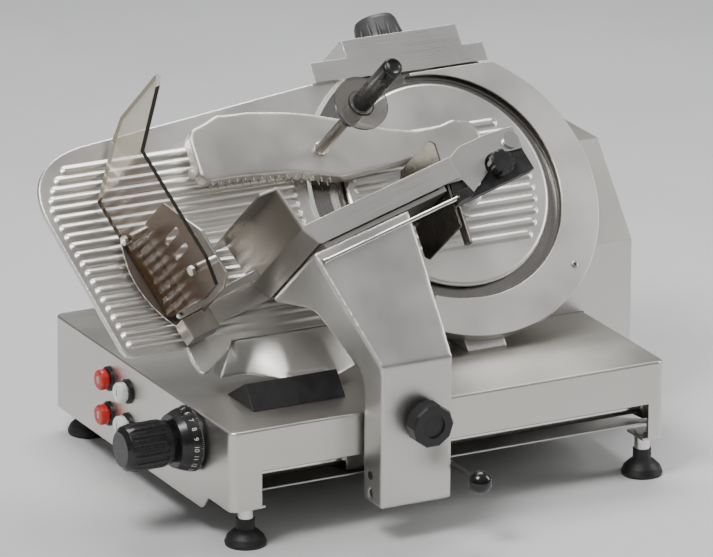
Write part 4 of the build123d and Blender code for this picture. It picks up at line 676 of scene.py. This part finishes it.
gauge_edge = list(GAUGE_TOP)
for count in range(GAUGE_ARC_STEPS + 1):
    v = GAUGE_ARC_HIGH - (GAUGE_ARC_HIGH - GAUGE_ARC_LOW) * count / GAUGE_ARC_STEPS
    gauge_edge.append((circle_left(KNIFE_AT, GAUGE_RADIUS, v), v))
gauge_edge += GAUGE_FOOT + GAUGE_LEFT
gauge_edge += bent(GAUGE_LEFT[-1], GAUGE_SHOULDER, GAUGE_SHOULDER_END, GAUGE_SHOULDER_STEPS)
gauge_rows = []
for count in range(GAUGE_RIBS):
    v = GAUGE_RIB_TOP - count * GAUGE_RIB_PITCH
    over = v - GAUGE_RIB_BEND
    left = GAUGE_RIB_LEFT + (over**2 / GAUGE_RIB_CURVE if over > 0 else -over * GAUGE_RIB_SLOPE)
    gauge_rows.append((left, circle_left(KNIFE_AT, GAUGE_RIB_RADIUS, v), v))
work = bmesh.new()
plate(work, gauge_edge, GAUGE_BACK, GAUGE_FACE, blade)
ribs(work, gauge_rows, GAUGE_FACE, GAUGE_RIB_HEIGHT, GAUGE_RIB_HALF)
gauge_form = softened(finished(work, "gauge_form"), voxel=1.1, rounds=6)
piece("gauge_cast", gauge_form, mat_gauge, "gauge", "gauge_plate")

rounded_copy("gauge_support", "support_cast", mat_support, voxel=1.6, rounds=26)

COVER_AT, COVER_RADIUS, COVER_FACE = (433, 231), 138, 0.5
COVER_PROFILE = [
    (COVER_RADIUS - 3, -5.5),
    (COVER_RADIUS, -4.5),
    (COVER_RADIUS, -2),
    (COVER_RADIUS - 3.5, COVER_FACE),
]
COVER_RIB_RADIUS, COVER_RIB_LOW, COVER_RIB_PITCH = 128, 148, 15.4
COVER_RIB_HEIGHT, COVER_RIB_HALF = 2.1, 5.5
COVER_RIB_ENDS = (525, 536, 543, 547, 549, 550, 549, 547, 543, 536, 526)
cover_rows = []
for count, right_end in enumerate(COVER_RIB_ENDS):
    v = COVER_RIB_LOW + count * COVER_RIB_PITCH
    cover_rows.append((circle_left(COVER_AT, COVER_RIB_RADIUS, v), right_end, v))
work = bmesh.new()
turn(work, basis(blade(*COVER_AT), KNIFE_NORMAL), COVER_PROFILE, steps=120)
ribs(work, cover_rows, COVER_FACE, COVER_RIB_HEIGHT, COVER_RIB_HALF)
cover_form = softened(finished(work, "cover_form"), voxel=0.9, rounds=5)
piece("cover_cast", cover_form, mat_cover, "base", "knife_cover")

rounded_copy("guard_bracket", "bracket_plate", mat_bow, voxel=0.8, rounds=3)

# ------------------------------------------------------------------ press
SPIKES_PER_ROW, SPIKE_FIRST, SPIKE_PITCH = 15, 108, 11.2
SPIKE_ROWS = (16, 26)
SPIKE_PROFILE = [(1.5, 0), (1.5, 3.5), (0.9, 8), (0.2, 11.5)]
spike_places = []
for row in SPIKE_ROWS:
    for count in range(SPIKES_PER_ROW):
        x = SPIKE_FIRST + count * SPIKE_PITCH
        spike_places.append(basis(blade(x, press_bottom(x) + SPIKE_ROOT, row), -UP_SLOPE))
spikes = turned("press_spikes", spike_places, SPIKE_PROFILE, steps=10)
piece("press_spikes", spikes, mat_machined, "press", "press_arm")

BUMPER = basis(blade(97, 287, 21), OUT_LEFT)
BUMPER_PROFILE = [(4.5, 0), (4.5, 5), (6, 5.5), (6.6, 7), (6.6, 10), (5.4, 11.6), (3, 12)]
bumper = turned("press_bumper", [BUMPER], BUMPER_PROFILE)
piece("press_bumper", bumper, mat_nylon, "press")

PRESS_HANDLE = basis(blade(262, 290), KNIFE_NORMAL)
HANDLE_ROD = [(4, 12), (4, 32.3), (9.5, 32.3), (9.5, 35), (8.6, 36.4), (7, 37), (7, 120)]
HANDLE_ROD += [(6.6, 120.6), (6.6, 129)]
# The grip has a groove near its foot and a shallow dish in its end.
HANDLE_GRIP = [(7.1, 127), (11.4, 127.2), (12.5, 128.6), (12.5, 148), (11.9, 148.6)]
HANDLE_GRIP += [(11.9, 149.6), (12.5, 150.2), (12.5, 277), (12.0, 280), (10.6, 281.7)]
HANDLE_GRIP += [(9.0, 282), (8.2, 280.9), (2, 280.8)]
rod = turned("handle_rod", [PRESS_HANDLE], HANDLE_ROD, steps=40)
grip = turned("handle_grip", [PRESS_HANDLE], HANDLE_GRIP, steps=48)
piece("handle_rod", rod, mat_rod, "press", "press_handle")
piece("handle_grip", grip, mat_grip, "press", "press_handle")

# ------------------------------------------------------------------ guard side
PUSH_HANDLE = basis(tray(-112, -8, 21), TRAY_UP)
PUSH_GRIP = [(7, 9), (8.6, 9.4), (9.5, 11), (9.5, 107), (9.2, 109.5), (8, 111.4)]
PUSH_GRIP += [(6.4, 112), (5.6, 111.2), (1, 111.1)]
PUSH_NECK = [(6, -0.3), (6, 1.5), (7.4, 2), (7.4, 6), (6, 6.6), (6, 9.2)]
grip = turned("push_grip", [PUSH_HANDLE], PUSH_GRIP, steps=48)
neck = turned("push_neck", [PUSH_HANDLE], PUSH_NECK, steps=32)
piece("push_grip", grip, mat_gloss, "arm", "push_handle")
piece("push_neck", neck, mat_rod, "arm", "push_handle")

# The toothed strip's ends in the tray's frame, its heights over the knife plane and its teeth.
STRIP_START, STRIP_END = Vector((-125.5, -3.0)), Vector((-3.2, 2.7))
STRIP_BACK, STRIP_FACE = 31.0, 34.0
STRIP_BOTTOM, STRIP_TOP, STRIP_MIDDLE = -5, 4, -0.5
STRIP_NOSE = 5
STRIP_LENGTH = (STRIP_END - STRIP_START).length
STRIP_RUN = (STRIP_END - STRIP_START).normalized()
TEETH, TOOTH_HEIGHT, TOOTH_CREST, TOOTH_FOOT = 60, 1.2, 0.9, 1.5
TEETH_MARGIN, TEETH_SHORT = 1, 8


def strip_point(along, up, n):
    """A place on the toothed strip: along it, across it, over the knife plane."""
    a = STRIP_START.x + STRIP_RUN.x * along - STRIP_RUN.y * up
    b = STRIP_START.y + STRIP_RUN.y * along + STRIP_RUN.x * up
    return tray(a, b, n)


strip = [(STRIP_LENGTH, STRIP_BOTTOM), (STRIP_LENGTH, STRIP_TOP)]
for count in range(TEETH):
    along = STRIP_LENGTH - TEETH_MARGIN - (STRIP_LENGTH - TEETH_SHORT) * count / TEETH
    strip.append((along, STRIP_TOP))
    strip.append((along - TOOTH_CREST, STRIP_TOP + TOOTH_HEIGHT))
    strip.append((along - TOOTH_FOOT, STRIP_TOP))
for count in range(13):
    angle = pi / 2 + pi * count / 12
    rise = (STRIP_TOP - STRIP_MIDDLE) * sin(angle)
    strip.append((STRIP_NOSE * cos(angle), STRIP_MIDDLE + rise))
slab("guard_strip", strip, STRIP_BACK, STRIP_FACE, mat_sheet, "arm", strip_point)
strip_screw = basis(strip_point(0, STRIP_MIDDLE, STRIP_FACE), KNIFE_NORMAL)
screws("guard_strip_screw", [strip_screw], radius=4.4, height=2.6, body="arm")

# The bow bulges to the left of its ends between its two corners on the right.
BOW_RIGHT, BOW_ENDS, BOW_BULGE, BOW_FULLNESS = -104, -123, 19, 0.8
BOW_LOW, BOW_HIGH = -9, 128
BOW_BACK, BOW_FACE = 5.0, 7.0
BOW_STEPS = 24
bow = [(BOW_RIGHT, BOW_HIGH), (BOW_RIGHT, BOW_LOW)]
for count in range(BOW_STEPS + 1):
    part = count / BOW_STEPS
    bulge = BOW_BULGE * sin(pi * part) ** BOW_FULLNESS
    bow.append((BOW_ENDS - bulge, BOW_LOW + (BOW_HIGH - BOW_LOW) * part))
slab("guard_bow", bow, BOW_BACK, BOW_FACE, mat_bow, "arm")

# ------------------------------------------------------------------ controls
LEVER = basis(at(280, 0, -70), OUT_FRONT)
LEVER_ROD = [(3.5, -24), (3.5, 96), (4.6, 97), (4.6, 102)]
BALL_RADIUS, BALL_CENTRE = 15, 113
lever_ball = [(4.8, 97.6), (5.6, 98.4)]
for degrees in range(-66, 79, 12):
    angle = radians(degrees)
    lever_ball.append((BALL_RADIUS * cos(angle), BALL_CENTRE + BALL_RADIUS * sin(angle)))
lever_ball.append((1.0, BALL_CENTRE + BALL_RADIUS))
rod = turned("lever_rod", [LEVER], LEVER_ROD, steps=20)
ball = turned("lever_ball", [LEVER], lever_ball, steps=40)
piece("lever_rod", rod, mat_rod, "lever", "engage_lever")
piece("lever_ball", ball, mat_gloss, "lever", "engage_lever")

# Each kind: its mark, the mark's size and finish, and the button's finish.
STOP = ("0", 13, mat_mark, "white_plastic", mat_red, "red_plastic")
START = ("1", 12, mat_mark_dark, "black_plastic", mat_white, "white_plastic")
BUTTONS = (
    ("stop_upper", 337, -36, STOP),
    ("stop_lower", 337, -82, STOP),
    ("start_upper", 284, -36, START),
    ("start_lower", 284, -80, START),
)
MARK_X = -16.05
RIM_PROFILE = [(12.55, 5.7), (12.9, 6.2), (12.9, 13.6), (12.4, 14.6), (12.1, 14.7), (12.1, 5.7)]
for body, y, z, kind in BUTTONS:
    mark, size, mark_shade, mark_slot, shade, slot = kind
    face = basis(at(MARK_X, y, z), OUT_LEFT, OUT_FRONT)
    text_piece("mark_" + body, mark, face, size, mark_shade, body)
    name = "button_rim_" + body
    rim = turned(name, [basis(at(0, y, z), OUT_LEFT)], RIM_PROFILE, steps=40)
    piece(name, rim, shade, body)

# The dial's skirt is a cone: its figures lie on the slope, and its ticks on the edge.
DIAL = at(0, 104, -37.7)
SKIRT_RUN, SKIRT_FALL = 13.5, 4
FIGURES, FIGURE_SIZE, FIGURE_RADIUS, FIGURE_OUT, FIGURE_LIFT = 20, 8.5, 39.15, 14.0, 0.15
TICKS, TICKS_PER_LONG_ONE = 100, 5
TICK_INNER, TICK_OUTER, TICK_START = 40.6, 41.12, 4.6
TICK_LONG, TICK_SHORT, TICK_HALF = 2.88, 1.6, 0.16


def round_dial(share):
    """The direction from the dial's axis at a share of a turn, and the one along its rim."""
    angle = 2 * pi * share
    return Vector((0, cos(angle), sin(angle))), Vector((0, -sin(angle), cos(angle)))


for count in range(FIGURES):
    radial, _ = round_dial(count / FIGURES)
    slope = (OUT_LEFT * SKIRT_RUN - radial * SKIRT_FALL).normalized()
    outward = (radial * SKIRT_RUN + OUT_LEFT * SKIRT_FALL).normalized()
    spot = DIAL + (radial * FIGURE_RADIUS + OUT_LEFT * FIGURE_OUT + outward * FIGURE_LIFT) / MM
    place = basis(spot, outward, outward.cross(slope))
    name = "dial_mark_%02d" % count
    text_piece(name, str(count), place, FIGURE_SIZE, mat_mark, "dial")

work = bmesh.new()
for count in range(TICKS):
    radial, rim_way = round_dial(count / TICKS)
    length = TICK_SHORT if count % TICKS_PER_LONG_ONE else TICK_LONG
    end = TICK_START + length
    corners = ((TICK_START, -1), (TICK_START, 1), (end, 1), (end, -1))
    rings = []
    for radius in (TICK_INNER, TICK_OUTER):
        ring = []
        for reach, sign in corners:
            offset = radial * radius + OUT_LEFT * reach + rim_way * TICK_HALF * sign
            ring.append(work.verts.new(DIAL + offset / MM))
        rings.append(ring)
    loft(work, rings)
piece("dial_ticks", finished(work, "dial_ticks"), mat_mark, "dial")

# ------------------------------------------------------------------ fasteners
ring_place = basis(blade(569, 98, 1.5), KNIFE_NORMAL)
screws("ring_screw", [ring_place], radius=4.2, height=1.8, body="base")
end_plate_places = [
    basis(tray(315, -14, 179.7), KNIFE_NORMAL),
    basis(tray(245, -42.5, 176.2), KNIFE_NORMAL),
]
screws("end_plate_screws", end_plate_places, radius=5.2, height=2.6, body="arm")
# The arm's side screws are painted near black all over, as painted shade of their holes.
plug_place = basis(at(175, -28, -72), OUT_LEFT)
plug = turned("arm_side_screws", [plug_place], screw_profile(SCREW_HEAD, radius=5.5, height=1.2))
piece("arm_side_screws", plug, mat_hole_shade, "arm")

# ------------------------------------------------------------------ stage
FLOOR_SIDE, FLOOR_FRONT, FLOOR_BACK = 8, -10, 14
floor_mesh = bpy.data.meshes.new("floor")
floor_mesh.from_pydata(
    [
        (-FLOOR_SIDE, FLOOR_FRONT, 0),
        (FLOOR_SIDE, FLOOR_FRONT, 0),
        (FLOOR_SIDE, FLOOR_BACK, 0),
        (-FLOOR_SIDE, FLOOR_BACK, 0),
    ],
    [],
    [(0, 1, 2, 3)],
)
floor = bpy.data.objects.new("floor", floor_mesh)
bpy.context.scene.collection.objects.link(floor)
floor_shade = Shade("floor_paper", (0.62, 0.63, 0.64), 0.0, 0.75)
floor_shade.tint(floor_shade.noise(scale=3.0, detail=3), (0.6, 0.61, 0.62), (0.64, 0.65, 0.66))
floor_mesh.materials.append(floor_shade.mat)

# Each lamp: its name, place, the height it aims at, width, depth, watts and colour.
LAMPS = (
    ("key", (-1.7, -0.9, 2.9), 0.2, 1.1, 1.1, 84, (1.0, 0.985, 0.96)),
    ("top", (0.4, 0.9, 2.6), 0.2, 1.8, 1.2, 55, (1.0, 0.99, 0.97)),
    ("right", (2.7, -0.9, 1.5), 0.25, 1.1, 1.6, 34, (1.0, 0.98, 0.95)),
)
for name, place, aim, width, depth, watts, color in LAMPS:
    light = bpy.data.lights.new(name, "AREA")
    light.shape = "RECTANGLE"
    light.size = width
    light.size_y = depth
    light.energy = watts
    light.color = color
    lamp = bpy.data.objects.new(name, light)
    bpy.context.scene.collection.objects.link(lamp)
    lamp.location = place
    way = Vector((0, 0, aim)) - Vector(place)
    lamp.rotation_euler = way.to_track_quat("-Z", "Y").to_euler()

# The surroundings are dark below and light above.
SKY_STOPS = ((0.0, (0.17, 0.16, 0.15, 1)), (0.8, (0.85, 0.85, 0.86, 1)))
SKY_STRENGTH = 0.46
world = bpy.data.worlds.new("studio")
bpy.context.scene.world = world
world.use_nodes = True
sky = world.node_tree
sky_place = sky.nodes.new("ShaderNodeTexCoord")
sky_split = sky.nodes.new("ShaderNodeSeparateXYZ")
sky_ramp = sky.nodes.new("ShaderNodeValToRGB")
for stop, (position, color) in zip(sky_ramp.color_ramp.elements, SKY_STOPS):
    stop.position = position
    stop.color = color
sky.links.new(sky_place.outputs["Generated"], sky_split.inputs["Vector"])
sky.links.new(sky_split.outputs["Z"], sky_ramp.inputs["Fac"])
sky.links.new(sky_ramp.outputs["Color"], sky.nodes["Background"].inputs["Color"])
sky.nodes["Background"].inputs["Strength"].default_value = SKY_STRENGTH

# ------------------------------------------------------------------ camera
# The photograph's view: where it looks from, and its pixels per millimetre at its target.
TURN, LIFT, ROLL = radians(-27.62), radians(18.88), radians(0.39)
TARGET = at(168.533, 0, 172.65)
DISTANCE = 9354.67
PIXELS_PER_MM, PHOTO_WIDTH, SENSOR_WIDTH = 0.83, 713, 36
back = Vector((cos(LIFT) * sin(TURN), -cos(LIFT) * cos(TURN), sin(LIFT)))
level = Vector((cos(TURN), sin(TURN), 0))
rise = back.cross(level)
right = level * cos(ROLL) + rise * sin(ROLL)
up = rise * cos(ROLL) - level * sin(ROLL)
camera_data = bpy.data.cameras.new("camera")
camera_data.sensor_fit = "HORIZONTAL"
camera_data.sensor_width = SENSOR_WIDTH
camera_data.lens = PIXELS_PER_MM * DISTANCE * SENSOR_WIDTH / PHOTO_WIDTH
camera_data.clip_start = 0.5
camera_data.clip_end = 60
camera = bpy.data.objects.new("camera", camera_data)
bpy.context.scene.collection.objects.link(camera)
camera.matrix_world = placed(right, up, back, TARGET + back * (DISTANCE / MM))
bpy.context.scene.camera = camera
